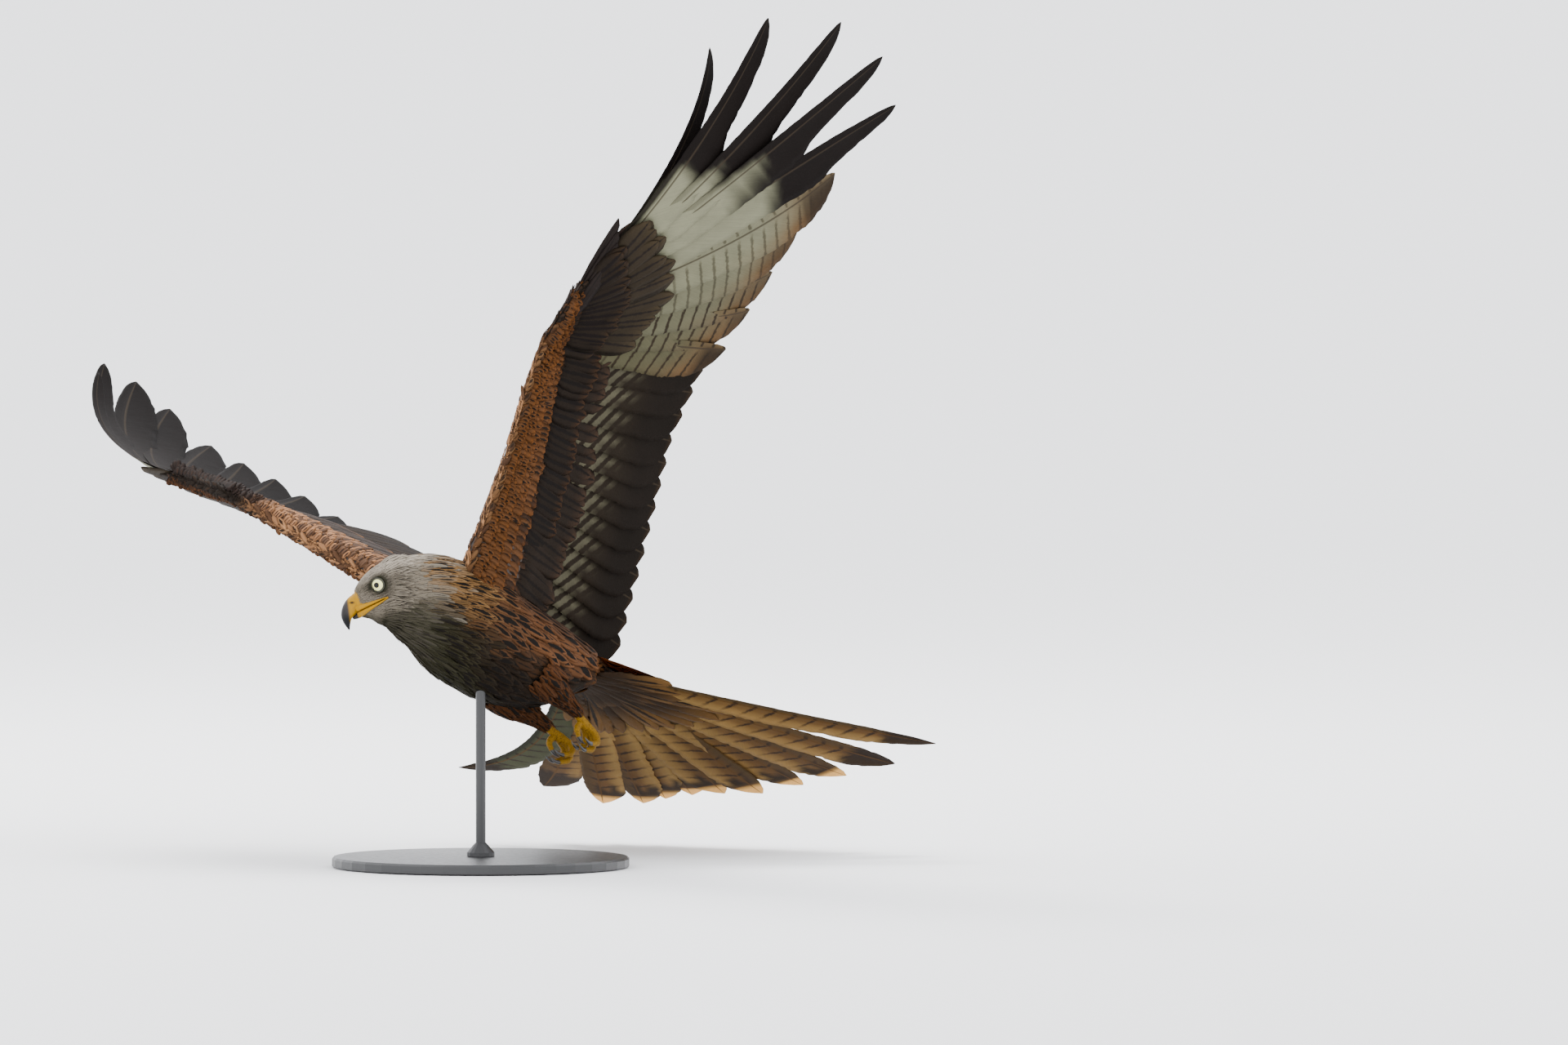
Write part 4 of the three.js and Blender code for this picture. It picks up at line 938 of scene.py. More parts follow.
UPPER_ROWS = [
    (0.04, 1.0, 22, [(0, 62), (0.5, 54), (0.8, 40), (1, 26)], [(0, 84), (1, 74)], 14, 5,
     dye(82, 62, 50), dye(170, 132, 98), dye(44, 34, 29), 0.8, 0.1),
    (1.02, 1.95, 12, [(1, 24), (1.5, 16), (2, 8)], [(1, 70), (1.5, 86), (2, 88)], 12, 4,
     dye(72, 58, 52), dye(118, 94, 78), dye(40, 33, 31), 0.6, 0.1),
    (0.04, 1.0, 26, [(0, 48), (0.5, 42), (0.8, 32), (1, 22)], 46, 11, 7,
     dye(120, 86, 60), dye(206, 164, 118), dye(44, 32, 26), 0.85, 0.3),
    (1.0, 1.85, 15, [(1, 18), (1.5, 11), (2, 6)], [(1, 40), (2, 52)], 9, 6,
     dye(78, 60, 50), dye(140, 108, 82), dye(40, 32, 28), 0.6, 0.2),
]


def larger_coverts(wing, face, table, tip_from):
    groups = []
    for *layout, ground, edge, mark, tip_share, streak in table:
        v = covert_row(wing, face, *layout)
        ground = mixed(ground, edge, tip_share * smooth(tip_from, 1, v.t))
        groups.append(v.paint(ground, mark, streak=streak))
    return groups


def lesser_coverts(wing, face, table, first_count, more, half, less):
    """Small coverts row upon row to the leading edge, each with its share of the depth."""
    for k, (share, length) in enumerate(table):
        behind = [(q, share * b) for q, b in LESSER_DEPTH]
        yield share, covert_row(wing, face, WING_ROOT, WING_END, first_count + more * k // 3, behind,
                                length * 1.1, half - less * k, None, "tuft")


def under_coverts(wing):
    near = wing["side"] > 0
    groups = larger_coverts(wing, -1, under_rows(near), 0.8)
    for share, v in lesser_coverts(wing, -1, UNDER_LESSER, 66, 26, 5.8, 0.22):
        ground = mixed(RUST, dye(116, 72, 37), 0.8 * v.seed)
        outward = smooth(0.6, 1.05, v.place) * smooth(0.3, 0.75, share)
        if near:
            hand = smooth(0.9, 1.12, v.place) * (smooth(0.1, 0.3, share) * 0.8 + 0.2)
        else:
            hand = smooth(0.72, 0.86, v.place)
        ground = mixed(ground, DARK_COVERT, np.maximum(outward, hand))
        darker = draw.random(v.seed.shape) < 0.9 * smooth(0.45, 0.9, share)
        ground = mixed(ground, dye(62, 42, 30), 0.8 * darker)
        ground = mixed(ground, dye(176, 116, 62), 0.3 * smooth(0.8, 1, v.t))
        streak = 0.34 * hump(0.3, 0.5, 0.8, 0.96, v.t) * (draw.random(v.seed.shape) > 0.5)
        groups.append(v.paint(ground, dye(38, 26, 18), streak=streak))
    if near:
        return groups + leading_edge(wing, -1, dye(136, 98, 68), dye(164, 134, 104), 1.15)
    return groups + leading_edge(wing, -1, PALE_EDGE, PALE_RIM, 0.74)


def upper_coverts(wing):
    dark_from = 0.9 if wing["side"] > 0 else 0.74
    groups = larger_coverts(wing, 1, UPPER_ROWS, 0.82)
    for share, v in lesser_coverts(wing, 1, UPPER_LESSER, 84, 30, 4.8, 0.15):
        buff = mixed(dye(182, 146, 118), dye(208, 176, 148), 0.7 * smooth(0.82, 1, v.t))
        darker = draw.random(v.seed.shape) < 0.3 + 0.35 * (v.place < 0.45)
        buff = mixed(buff, dye(88, 64, 50), 0.75 * darker)
        ground = mixed(dye(66, 52, 46), buff, 1 - smooth(dark_from, dark_from + 0.18, v.place))
        by_body = (1 - smooth(0.2, 0.6, v.place)) * smooth(0.2, 0.5, share)
        streak = (0.1 + 0.25 * v.seed + 0.25 * by_body) * hump(0.2, 0.45, 0.75, 0.95, v.t)
        groups.append(v.paint(ground, dye(78, 56, 44), streak=streak))
    return groups + leading_edge(wing, 1, PALE_EDGE, PALE_RIM, dark_from)


def leading_edge(wing, face, ground, rim, dark_from):
    """Short feathers that wrap the blunt nose of the wing."""
    groups = []
    count = 190
    for shift in (0.0, 2.0, 4.0):
        place = np.linspace(WING_ROOT, 1.98, count) + draw.normal(0, 0.002, count)
        p, e, c, n = wing_frame(wing, place)
        thin = np.clip(read(CORE_TOP if face > 0 else CORE_UNDER, place) / 12, 0.25, 1)
        root = (p + c * (-read(wing["front"], place) - 0.2 + 0.35 * shift * thin)[:, None]
                + n * (face * (shift - 1) * thin)[:, None])
        sway = draw.normal(0, 0.16, count)[:, None]
        run = unit(e + n * (face * (0.5 - 0.09 * shift)) + c * (0.25 + 0.1 * shift) + c * sway)
        up = unit(n * face * (0.25 + 0.2 * shift) - c)
        length = (9 + 6 * thin) * draw.uniform(0.8, 1.2, count)
        v = Vanes(root, run, up, length, 3.6, 3.6, ROUND_SHAPE, ROUND_SHAPE, TUFT_ROWS, "tuft",
                  bend=-12 * DEG, camber=0.25, thick=0.08, ridge=0.01, frayed=0.3, side=wing["side"])
        darker = draw.random(v.seed.shape) > 0.66
        colour = mixed(mixed(ground, rim, 0.5 * v.seed), dye(92, 64, 48), 0.8 * darker)
        hand = smooth(dark_from, dark_from + 0.2, place)[:, None, None]
        spots = 0.5 * hump(0.45, 0.7, 0.85, 0.97, v.t) * (v.seed > 0.6)
        v.paint(mixed(colour, DARK_COVERT, hand), dye(66, 46, 32), streak=spots)
        row = np.full(count, 0.01 + 0.002 * shift)
        groups.append(v.patches(np.stack([0.02 + 0.96 * place / MAP_END, row], 1), 0.005))
    return groups


# Length, angle, place behind the edge and depth below the bone
ALULA_PLACE = 1.45
ALULA_FEATHERS = [(146, -6, 9, 0.5), (128, -4, 11, 1.3), (112, -2, 13, 2.1), (80, 0, 12, 2.9)]


def alula(wing):
    groups = []
    front = read(wing["front"], ALULA_PLACE)
    spread, shown = (0, 1) if wing["side"] > 0 else (15, 0.5)
    for length, off, back, low in ALULA_FEATHERS:
        p, e, c, n = wing_frame(wing, ALULA_PLACE)
        fan = (off + spread) * DEG
        v = Vanes(p + c * (back - front) - n * low, e * np.cos(fan) + c * np.sin(fan), n,
                  length * shown, 7, 9, LANCE_SHAPE, COVERT_SHAPE, np.linspace(0, 1, 16), "covert",
                  camber=0.1, thick=0.4, ridge=0.4, frayed=0.05, side=wing["side"])
        v.paint(dye(50, 40, 36), dye(30, 24, 22), streak=0.08)
        groups.append(v.patches(np.array([[0.93 + 0.015 * len(groups), 0.95]]), 0.012))
    return groups


def wing_core(wing):
    """The wing's own flesh under the coverts."""
    places = np.linspace(-0.1, 2, 90)
    p, _, c, n = wing_frame(wing, places)
    front = read(wing["front"], places)
    chord = front + read(CORE_BACK, places)
    shares = [0, 0.012, 0.04, 0.11, 0.22, 0.4, 0.6, 0.8, 1]
    rings = []
    for face, steps in ((1, shares), (-1, shares[:0:-1])):
        for u in steps:
            deep = read(CORE_TOP if face > 0 else CORE_UNDER, places) - 1.2
            high = np.maximum(deep, 0.4) * read(AIRFOIL, u) * face
            rings.append(p + c * (u * (chord - 3) + 1.5 - front)[:, None] + n * high[:, None])
    return np.stack(rings, 1) * np.array([wing["side"], 1, 1])


def grained_finish(name, size, dark, pale, roughness, strength, depth):
    """An even finish of two colours mixed by a fine grain."""
    f = Finish(name)
    grain = f.noise(size, 4)
    return f.shade(f.mix(grain, dark, pale), roughness, f.bump(grain, strength, depth))


down = grained_finish("down", 300, dye(52, 38, 30), dye(84, 58, 42), 0.85, 0.4, 0.001)


def build_wing(wing):
    name = wing["name"]
    nodes = (f"wing_{name}_arm", f"wing_{name}_hand")
    lofted(f"wing_{name}_down", [wing_core(wing)], down, nodes, turned=wing["side"] > 0)
    for part, groups, finish in (
            ("primaries", [primaries(wing)], flight_finish),
            ("secondaries", [secondaries(wing)], secondary_finish),
            ("under_coverts", under_coverts(wing) + alula(wing), covert_finish),
            ("upper_coverts", upper_coverts(wing), covert_finish)):
        feather_piece(f"wing_{name}_{part}", groups, finish, nodes)


# Tail
def tail_axes():
    rot = spin(X, TAIL_UP) @ spin(Z, TAIL_YAW_RIGHT) @ spin(Y, TAIL_ROLL)
    return rot.T


RECTRIX_LEAD = [(0, 3), (0.15, 12), (0.85, 17), (0.92, 13.5), (0.97, 8), (1, 1)]
RECTRIX_TRAIL = [(0, 3), (0.15, 17), (0.5, 27), (0.88, 29), (0.94, 22), (0.98, 11), (1, 1)]
OUTER_LEAD = [(0, 3), (0.15, 8), (0.8, 9), (0.93, 6.5), (1, 0.8)]
OUTER_TRAIL = [(0, 3), (0.15, 18), (0.5, 29), (0.8, 26), (0.9, 17), (0.96, 9), (1, 0.8)]


TAIL_GOLD, TAIL_BROWN, TAIL_PALE_WEB = dye(160, 128, 86), dye(138, 102, 62), dye(190, 166, 128)
TAIL_DARK_WEB, TAIL_END, TAIL_FRINGE = dye(88, 72, 46), dye(58, 38, 24), dye(226, 204, 170)
TAIL_RUFOUS, TAIL_RUFOUS_DEEP = dye(168, 110, 70), dye(144, 92, 58)
FOLDED_PALE, FOLDED_DARK = dye(112, 112, 84), dye(72, 74, 54)


def rectrices():
    left, back, up = tail_axes()
    last = len(TAIL_FEATHERS) - 1
    groups = []
    for i, (fan, lift, curl) in enumerate(TAIL_FEATHERS):
        across = 1 - 2 * i / last
        pair = min(i, last - i)
        side = np.sign(across)
        run = back * np.cos(fan * DEG) + left * np.sin(fan * DEG)
        drop = RECTRIX_STEP_DOWN * (5 - pair)
        root = TAIL_ROOT + left * TAIL_ROOT_HALF_WIDTH * across + up * (4 - drop) - run * RECTRIX_ROOT_DEPTH
        lead, trail = (OUTER_LEAD, OUTER_TRAIL) if pair == 0 else (RECTRIX_LEAD, RECTRIX_TRAIL)
        v = Vanes(root[None], run[None], (up * side)[None], TAIL_LENGTHS[pair] + RECTRIX_ROOT_DEPTH, 1, 1,
                  lead, trail, np.linspace(0, 1, VANE_STEPS), "fine", bend=side * lift * DEG,
                  sweep=-curl * DEG, sweep_power=3, tilt=side * RECTRIX_TILT * DEG, camber=0.05,
                  thick=0.45, ridge=0.6, frayed=0.1)
        t, s = v.t, v.s
        upper_side = v.top if side > 0 else ~v.top
        gold = mixed(TAIL_GOLD, TAIL_BROWN, smooth(0.2, 0.8, t))
        under = mixed(gold, TAIL_PALE_WEB, smooth(0.2, 0.8, s) * 0.75)
        under = mixed(under, TAIL_DARK_WEB, (0.75 if pair == 0 else 0.55) * (1 - smooth(-0.6, 0.3, s)))
        dark_end = smooth(0.86, 0.9, t + 0.03 * np.sin(9 * s + i)) * (1 - smooth(0.93, 0.965, t))
        pale_end = smooth(0.945, 0.975, t + 0.02 * draw.random(t.shape))
        if i < 2 or i > 9:
            dark_end = smooth(0.83, 0.87, t + 0.01 * np.sin(11 * s + i))
            pale_end = 0.0
        if i == 11:
            under = mixed(FOLDED_PALE, FOLDED_DARK, smooth(0, 0.6, -s))
        end_depth = 0.95 if pair < 2 else 0.85 * smooth(-0.9, 0.2, s) + 0.1
        under = mixed(under, TAIL_END, dark_end * end_depth)
        under = mixed(under, TAIL_FRINGE, pale_end * 0.9)
        upper = mixed(TAIL_RUFOUS, TAIL_RUFOUS_DEEP, t)
        upper = mixed(upper, dye(56, 36, 24), dark_end * 0.8)
        upper = mixed(upper, dye(216, 190, 150), pale_end * 0.8)
        ground = np.where(upper_side[..., None], upper, under)
        bars = hump(0.12, 0.3, 0.86, 0.9, t) * (0.95 - 0.85 * smooth(0.25, 0.75, np.abs(s - 0.1)))
        bars = np.where(upper_side, 0.55, 1) * bars
        v.paint(ground, dye(66, 44, 28), bars=bars, spacing=21, slant=0.5)
        groups.append(v)
    return stacked(groups)


# Start behind the root, count, length, half width and height of each row
TAIL_COVERTS = [(26, 11, 92, 11, 5), (10, 11, 84, 11, 7.5), (-6, 10, 74, 10.5, 10), (-22, 9, 66, 10, 12.5)]
# Place along the tail, half width and half height of its flesh
TAIL_HUB = [(-14, 19, 11), (4, 26, 10), (22, 32, 6), (42, 36, 2)]


def tail_coverts(face):
    """Rows of coverts over or under the roots of the tail feathers."""
    left, back, up = tail_axes()
    groups = []
    body = 1 if face > 0 else 1.25
    for row, (start, count, length, half, high) in enumerate(TAIL_COVERTS):
        share = np.linspace(1, -1, count) + draw.normal(0, 0.05, count)
        fan = (7 + 36 * share) * DEG
        run = np.outer(np.cos(fan), back) + np.outer(np.sin(fan), left)
        lift = high * (1 - 0.35 * share ** 2) * body
        root = (TAIL_ROOT + left * (22 * share)[:, None] + back * start
                + up * (face * lift)[:, None])
        fall = -np.arctan2(lift - 3.2, length)
        out = unit(up * face + left * (0.25 * share)[:, None])
        run = unit(run * np.cos(fall)[:, None] + up * face * np.sin(fall)[:, None])
        v = Vanes(root, run, out, length * body * draw.uniform(0.95, 1.05, count), half, half, COVERT_SHAPE,
                  COVERT_SHAPE, np.linspace(0, 1, 16), "covert", bend=-2 * DEG, camber=0.2, thick=0.3,
                  ridge=0.2, frayed=0.25)
        if face > 0:
            ground = mixed(dye(166, 96, 52), dye(206, 150, 100), 0.6 * smooth(0.8, 1, v.t))
            streak = 0.14 * smooth(0.3, 0.6, v.t)
        else:
            ground = mixed(dye(66, 46, 30), dye(136, 102, 64), smooth(0.45, 1.05, v.t + 0.3 * v.seed))
            streak = 0.2 * hump(0.2, 0.5, 0.7, 0.92, v.t) * (v.seed > 0.5)
        v.paint(ground, dye(40, 28, 20), streak=streak)
        on_map = np.full(count, 0.1 + 0.2 * row + (0 if face > 0 else 0.1))
        groups.append(v.patches(np.stack([0.5 + 0.45 * share, on_map], 1), 0.02))
    return groups


def tail_hub():
    left, back, up = tail_axes()
    angle = circle(40)
    grid = []
    for along in np.linspace(TAIL_HUB[0][0], TAIL_HUB[-1][0], 24):
        half, high = (read([(h[0], h[k]) for h in TAIL_HUB], along) for k in (1, 2))
        grid.append(TAIL_ROOT + back * along + up + np.outer(np.cos(angle) * half, left)
                    + np.outer(np.sin(angle) * high, up))
    lofted("tail_down", [np.stack(grid)], down, ("tail",))


# Markings of the body, by place, with painted shade under the body, neck and head and a painted highlight on
# the crown
GREY = dye(162, 154, 143)
# pale grey of the painted highlight on the crown
CROWN_HIGHLIGHT_GREY = dye(196, 190, 182)
NAPE = dye(166, 134, 98)
RUFOUS = dye(136, 94, 64)
BREAST = dye(108, 76, 52)
# dark brown of the painted shade on the underside
SHADED_BELLY = dye(50, 36, 24)
BLACK_STREAK = dye(30, 24, 20)
THIGH_RED = dye(118, 72, 40)
# dark olive of the skin about the eyes, also used for the painted shade under the head
FACE_SKIN_AND_SHADE = dye(84, 80, 58)


def body_colours(points, normals):
    """Ground colour, streak colour and streak width of the plumage at points of the body, the ground with
    painted shade on faces turned down and a painted highlight on the crown.
    """
    ahead, _, up = head_place(points)
    x, y, z = points.T
    wobble = np.sin(x * 0.11 + y * 0.07) * np.sin(z * 0.09 - y * 0.05 + 1)
    below = -normals[:, 2]
    away = np.linalg.norm(points - HEAD_CENTRE, axis=1)
    head = 1 - smooth(46, 80, away + 7 * wobble + draw.normal(0, 7, len(points)))
    neck = 1 - smooth(76, 120, away + 9 * wobble + draw.normal(0, 6, len(points)))
    back = smooth(0.1, 0.6, -below)
    # faces turned down are painted dark brown: painted shade on the underside of the body
    shade_below = smooth(0.15, 0.75, below + 0.14 * wobble + draw.normal(0, 0.06, len(points)))
    ground = mixed(RUFOUS, SHADED_BELLY, shade_below)
    ground = mixed(ground, dye(104, 76, 58), back)
    breast = (1 - smooth(-40, 10, y)) * smooth(-0.3, 0.4, below + 0.3)
    ground = mixed(ground, BREAST, 0.6 * breast * (1 - shade_below))
    ground = mixed(ground, NAPE, neck * (1 - smooth(0.1, 0.7, below)))
    # the underside of the neck is painted dark olive: painted shade
    ground = mixed(ground, dye(74, 60, 38), neck * shade_below * 0.9)
    # the head's faces turned down are painted dark olive: painted shade under the head
    shade_under_head = smooth(0.3, 0.95, -(normals @ HEAD_UP))
    ground = mixed(ground, mixed(GREY, FACE_SKIN_AND_SHADE, shade_under_head), head)
    # the top of the head is painted paler grey: a painted highlight where light falls from above
    crown = head * smooth(8, 24, up)
    ground = mixed(ground, CROWN_HIGHLIGHT_GREY, crown * 0.9)
    chin = smooth(-70, -25, ahead) * smooth(-13, -27, up)
    ground = mixed(ground, dye(66, 63, 42), 0.85 * chin)
    lore = np.exp(-(((ahead - 7) / 7) ** 2 + ((up - 8) / 4.5) ** 2))
    apart = from_iris(ahead, up)
    ground = mixed(ground, dye(70, 66, 50), np.clip(0.9 * lore + 0.8 * (1 - smooth(8, 13, apart)), 0, 1))
    streak = mixed(BLACK_STREAK, dye(98, 90, 82), head)
    vent = smooth(80, 130, y) * smooth(-0.2, 0.4, below)
    ground = mixed(ground, dye(128, 84, 46), vent)
    width = 0.4 * (1 - head) + 0.3 * head
    width = width * (1 - 0.35 * crown)
    return ground, streak, width


def plumes(surface, start, stop, pitch, length, half, shape, lift, inset, keep=None, rows=COVERT_ROWS,
           columns="tuft", reddened=False, shrink=None, camber=0.14):
    """Feathers in staggered rings over a surface, from ring number start to stop."""
    at = lambda ring, values: np.interp(ring, np.arange(len(values)), values)
    arc0, arc1 = at([start, stop], surface.arc)
    where, odd, rows_of = arc0, 0, []
    while where < arc1:
        ring = np.interp(where, surface.arc, np.arange(len(surface.arc)))
        part = (where - arc0) / (arc1 - arc0)
        gap = read(pitch, part)
        count = max(int(at(ring, surface.girth) / (gap * 1.05)), 5)
        turn = (np.arange(count) + 0.5 * odd) / count + draw.normal(0, 0.18, count) / count
        rings = ring + draw.normal(0, 0.2, count) * gap / (surface.arc[-1] / len(surface.arc))
        rings = np.clip(rings, start, stop)
        size = np.full((count, 2), [read(length, part), read(half, part)])
        on_map = np.stack([turn % 1, np.full(count, ring / len(surface.points))], 1)
        rows_of.append((*surface.at(rings, turn), size, on_map, np.stack([rings, turn], 1)))
        where += gap * 0.8
        odd = 1 - odd
    p, n, b, size, on_map, spot = map(np.concatenate, zip(*rows_of))
    if keep is not None:
        ok = keep(p)
        p, n, b, size, on_map, spot = (a[ok] for a in (p, n, b, size, on_map, spot))
    if shrink is not None:
        size = size * shrink(p)[:, None]
    step = np.interp(spot[:, 0], np.arange(len(surface.arc) - 1), np.diff(surface.arc))
    _, later, _ = surface.at(np.maximum(spot[:, 0] - 0.8 * size[:, 0] / step, 0), spot[:, 1])
    away = np.arcsin(np.clip((later * b).sum(1), -0.9, 0.9))
    count = len(p)
    sway = draw.normal(0, 5, count) * DEG
    run = b * np.cos(sway)[:, None] + np.cross(n, b) * np.sin(sway)[:, None]
    raised = (lift + draw.normal(0, 1.5, count)) * DEG
    run = run * np.cos(raised)[:, None] + n * np.sin(raised)[:, None]
    long = size[:, 0] * draw.uniform(0.88, 1.12, count)
    v = Vanes(p - n * inset, run, n, long, size[:, 1], size[:, 1], shape, shape, rows, columns,
              bend=-raised * 1.3 - away, power=1, sweep=draw.normal(0, 6, count) * DEG, camber=camber,
              thick=0.12, ridge=0.04, frayed=0.2)
    ground, mark, width = body_colours(p, n)
    if reddened:
        ground = mixed(ground, THIGH_RED, np.full(count, 0.75))
    ground = ground[:, None, None]
    ground = mixed(ground, np.minimum(ground * 1.8 + 0.02, 0.9), 0.12 * smooth(0.75, 1, v.t))
    streak = (width[:, None, None] * hump(0.1, 0.45, 0.72, 0.98, v.t)
              * (0.25 + 1.1 * smooth(0.3, 0.75, v.seed)))
    v.paint(ground, mark[:, None, None], streak=streak)
    return v.patches(on_map, 0.004)


def clear_of_face(p):
    """Keeps feathers off the eyes, the cere and the yellow rim of the mouth."""
    ahead, side, up = head_place(p)
    eye = from_iris(ahead, up) < 8.0
    _, _, strip = mouth(ahead, side, up)
    cere = (ahead > 20.5) & (up > -14)
    return ~(eye | strip | cere)


def finer_by_eye(p):
    ahead, _, up = head_place(p)
    apart = from_iris(ahead, up)
    return np.interp(apart, [8, 17], [0.45, 1])


def build_body(surface):
    station = RINGS_PER_STATION
    torso = plumes(surface, 0.4 * station, 6.2 * station, [(0, 10), (0.25, 10.5), (1, 7.5)],
                   [(0, 38), (0.3, 42), (1, 32)], [(0, 7), (0.3, 8), (1, 5)], PLUME_SHAPE, 3, 2.2,
                   columns="covert", camber=0.08)
    feather_piece("body_feathers", [torso], plume_finish, ("torso",))
    neck = plumes(surface, 5.9 * station, 9.0 * station, [(0, 5.6), (1, 3.4)], [(0, 30), (1, 18)],
                  [(0, 3.8), (1, 1.8)], PLUME_SHAPE, 3.5, 1.6, camber=0.08)
    feather_piece("neck_feathers", [neck], plume_finish, ("neck",))
    head = plumes(surface, 8.7 * station, 13.75 * station, [(0, 2.7), (0.4, 1.75), (1, 1.3)],
                  [(0, 15), (0.35, 9), (1, 4)], [(0, 1.2), (0.4, 0.85), (1, 0.6)], PLUME_SHAPE, 2.5, 0.5,
                  keep=clear_of_face, rows=TUFT_ROWS, shrink=finer_by_eye, camber=0.05)
    feather_piece("head_feathers", [head], plume_finish, ("head",))


def build_thighs():
    for name, side in SIDES.items():
        surface = thigh_surface(side)
        v = plumes(surface, 1, 38, [(0, 3.6), (0.5, 6), (1, 8)], [(0, 16), (0.5, 24), (1, 28)],
                   [(0, 2.6), (0.5, 4.4), (1, 6)], LANCE_SHAPE, 5, 1.2, reddened=True)
        feather_piece(f"thigh_{name}_feathers", [v], plume_finish, (f"thigh_{name}",))


def ground_finish(name, size, detail, spread, rough, strength, depth, sockets):
    """A finish in the piece's own ground colour with a grain."""
    f = Finish(name)
    base = f.attribute("ground", "Color")
    grain = f.noise(size, detail)
    colour = f.toned(base, f.times(grain, *spread))
    return f.shade(colour, f.times(grain, *rough), f.bump(grain, strength, depth), sockets)


bare_skin = ground_finish("bare_skin", 900, 4, (0.4, 0.8), (0.3, 0.4), 0.5, 0.0004,
                          {"Specular IOR Level": 0.12})
YELLOW = np.array([0.3, 0.15, 0.0])
ORANGE = np.array([0.24, 0.09, 0.0])


# Depth of the skin under the feathers by body station, and on the thighs by ring from the ankle
SKIN_DEPTH = [(0, 3.5), (6, 3), (9, 1.6), (12, 0.9)]
THIGH_SKIN_DEPTH = [(0, 3.4), (6, 2), (27, 2), (39, 13)]


def build_skin(surface):
    """One skin under the feathers, with the mouth line, brows and eye sockets of the face."""
    rings, around = surface.points.shape[:2]
    flat, out = surface.points.reshape(-1, 3), surface.normals.reshape(-1, 3)
    ahead, side, up = head_place(flat)
    ring = np.repeat(np.arange(rings), around) / RINGS_PER_STATION
    _, _, strip = mouth(ahead, side, up)
    apart = from_iris(ahead, up)
    inset = read(SKIN_DEPTH, ring) + 6 * (1 - smooth(5.6, 7.4, apart)) * (np.abs(side) > 8)
    flat = flat - out * inset[:, None]
    ground, _, _ = body_colours(flat, out)
    # the plumage colour is darkened to six tenths on the skin under the feathers: painted shade between them
    ground = mixed(ground * 0.6, YELLOW, strip * 1.0)
    ground = mixed(ground, YELLOW, (ahead > 18.5) & (up > -16))
    ground = mixed(ground, FACE_SKIN_AND_SHADE, (apart < 10) * (np.abs(side) > 8) * 1.0)
    lofted("skin", [flat.reshape(rings, around, 3)], bare_skin, ("torso", "neck", "head"),
           ground)
    for name, side in SIDES.items():
        thigh = thigh_surface(side)
        deep = read(THIGH_SKIN_DEPTH, np.arange(len(thigh.points)))
        grid = thigh.points - thigh.normals * deep[:, None, None]
        lofted(f"thigh_{name}_skin", [grid], bare_skin, (f"thigh_{name}",),
               np.tile(dye(74, 46, 26), (grid.size // 3, 1)))


def mouth_height(ahead):
    """Half the height of the yellow rim and the height of the line of the mouth."""
    return (np.interp(ahead, [-8, 0, 12, 25], [0.9, 2.2, 4.2, 6.5]),
            np.interp(ahead, [-8, 10, 26], [-7.4, -8.6, -9.8]))


def build_mouth_rims(surface):
    """The soft yellow lips along both sides of the mouth, with the line between them painted dark as shade.
    """
    ahead, across, up = head_place(surface.points.reshape(-1, 3))
    about = (ahead > -16) & (ahead < 32) & (np.abs(up + 8) < 12)
    for name, side in SIDES.items():
        near = about & (across * side > 3)
        a, v = np.meshgrid(np.linspace(MOUTH_CORNER, MOUTH_END, 150), np.linspace(-1, 1, 41), indexing="ij")
        half, line = mouth_height(a)
        u = line + v * half
        # the width of the face there, from its six nearest points
        apart = (a.reshape(-1, 1) - ahead[near]) ** 2 + (u.reshape(-1, 1) - up[near]) ** 2 + 0.05
        closest = np.argpartition(apart, 6, axis=1)[:, :6]
        weight = 1 / np.take_along_axis(apart, closest, 1)
        out = (np.abs(across[near])[closest] * weight).sum(1) / weight.sum(1)
        lip = np.sqrt(np.clip(1 - (2 * np.abs(v) - 1) ** 2, 0, 1)) * (np.abs(v) < 1)
        out = (out.reshape(a.shape) - 0.3 - 1.6 * smooth(21, MOUTH_END, a)
               + 0.8 * smooth(MOUTH_CORNER, -3, a) * lip
               - 0.8 * smooth(0.85, 1, np.abs(v)) - 0.5 * np.exp(-((v / 0.05) ** 2)))
        ground = mixed(YELLOW, ORANGE, 0.5 * (1 - smooth(0, 0.5, np.abs(v))))
        # the line where the lips meet is painted dark brown: painted shade in the crease
        ground = mixed(ground, dye(48, 32, 16), np.exp(-((v * half / 0.42) ** 2)) * smooth(-7, -3, a))
        outer, inner = (in_head(a[..., None], side * (out[..., None] - deep), u[..., None])
                        for deep in (0, 2.2))
        lofted(f"mouth_rim_{name}", [np.concatenate([outer, inner[:, ::-1]], 1)], bare_skin,
               ("head",), np.concatenate([ground, ground[:, ::-1]], 1), turned=side < 0)


# Eyes, bill, feet
def primitive(name, finish):
    """Names and shades the shape just added, and gives its points."""
    piece = bpy.context.object
    piece.name = piece.data.name = name
    piece.data.materials.append(finish)
    bpy.ops.object.shade_smooth()
    return piece, np.array([v.co for v in piece.data.vertices])


def settled(piece, points, matrix, node):
    """Puts a primitive's new points and its place on the bird into its mesh and lets it ride."""
    piece.data.vertices.foreach_set("co", points.ravel())
    stance = Matrix(STANCE.tolist()).to_4x4()
    stance.translation = Vector(STANCE_AT)
    piece.data.transform(Matrix.Scale(MM, 4) @ stance @ matrix)
    piece.matrix_world = Matrix()
    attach(piece, "root")
    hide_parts(node)


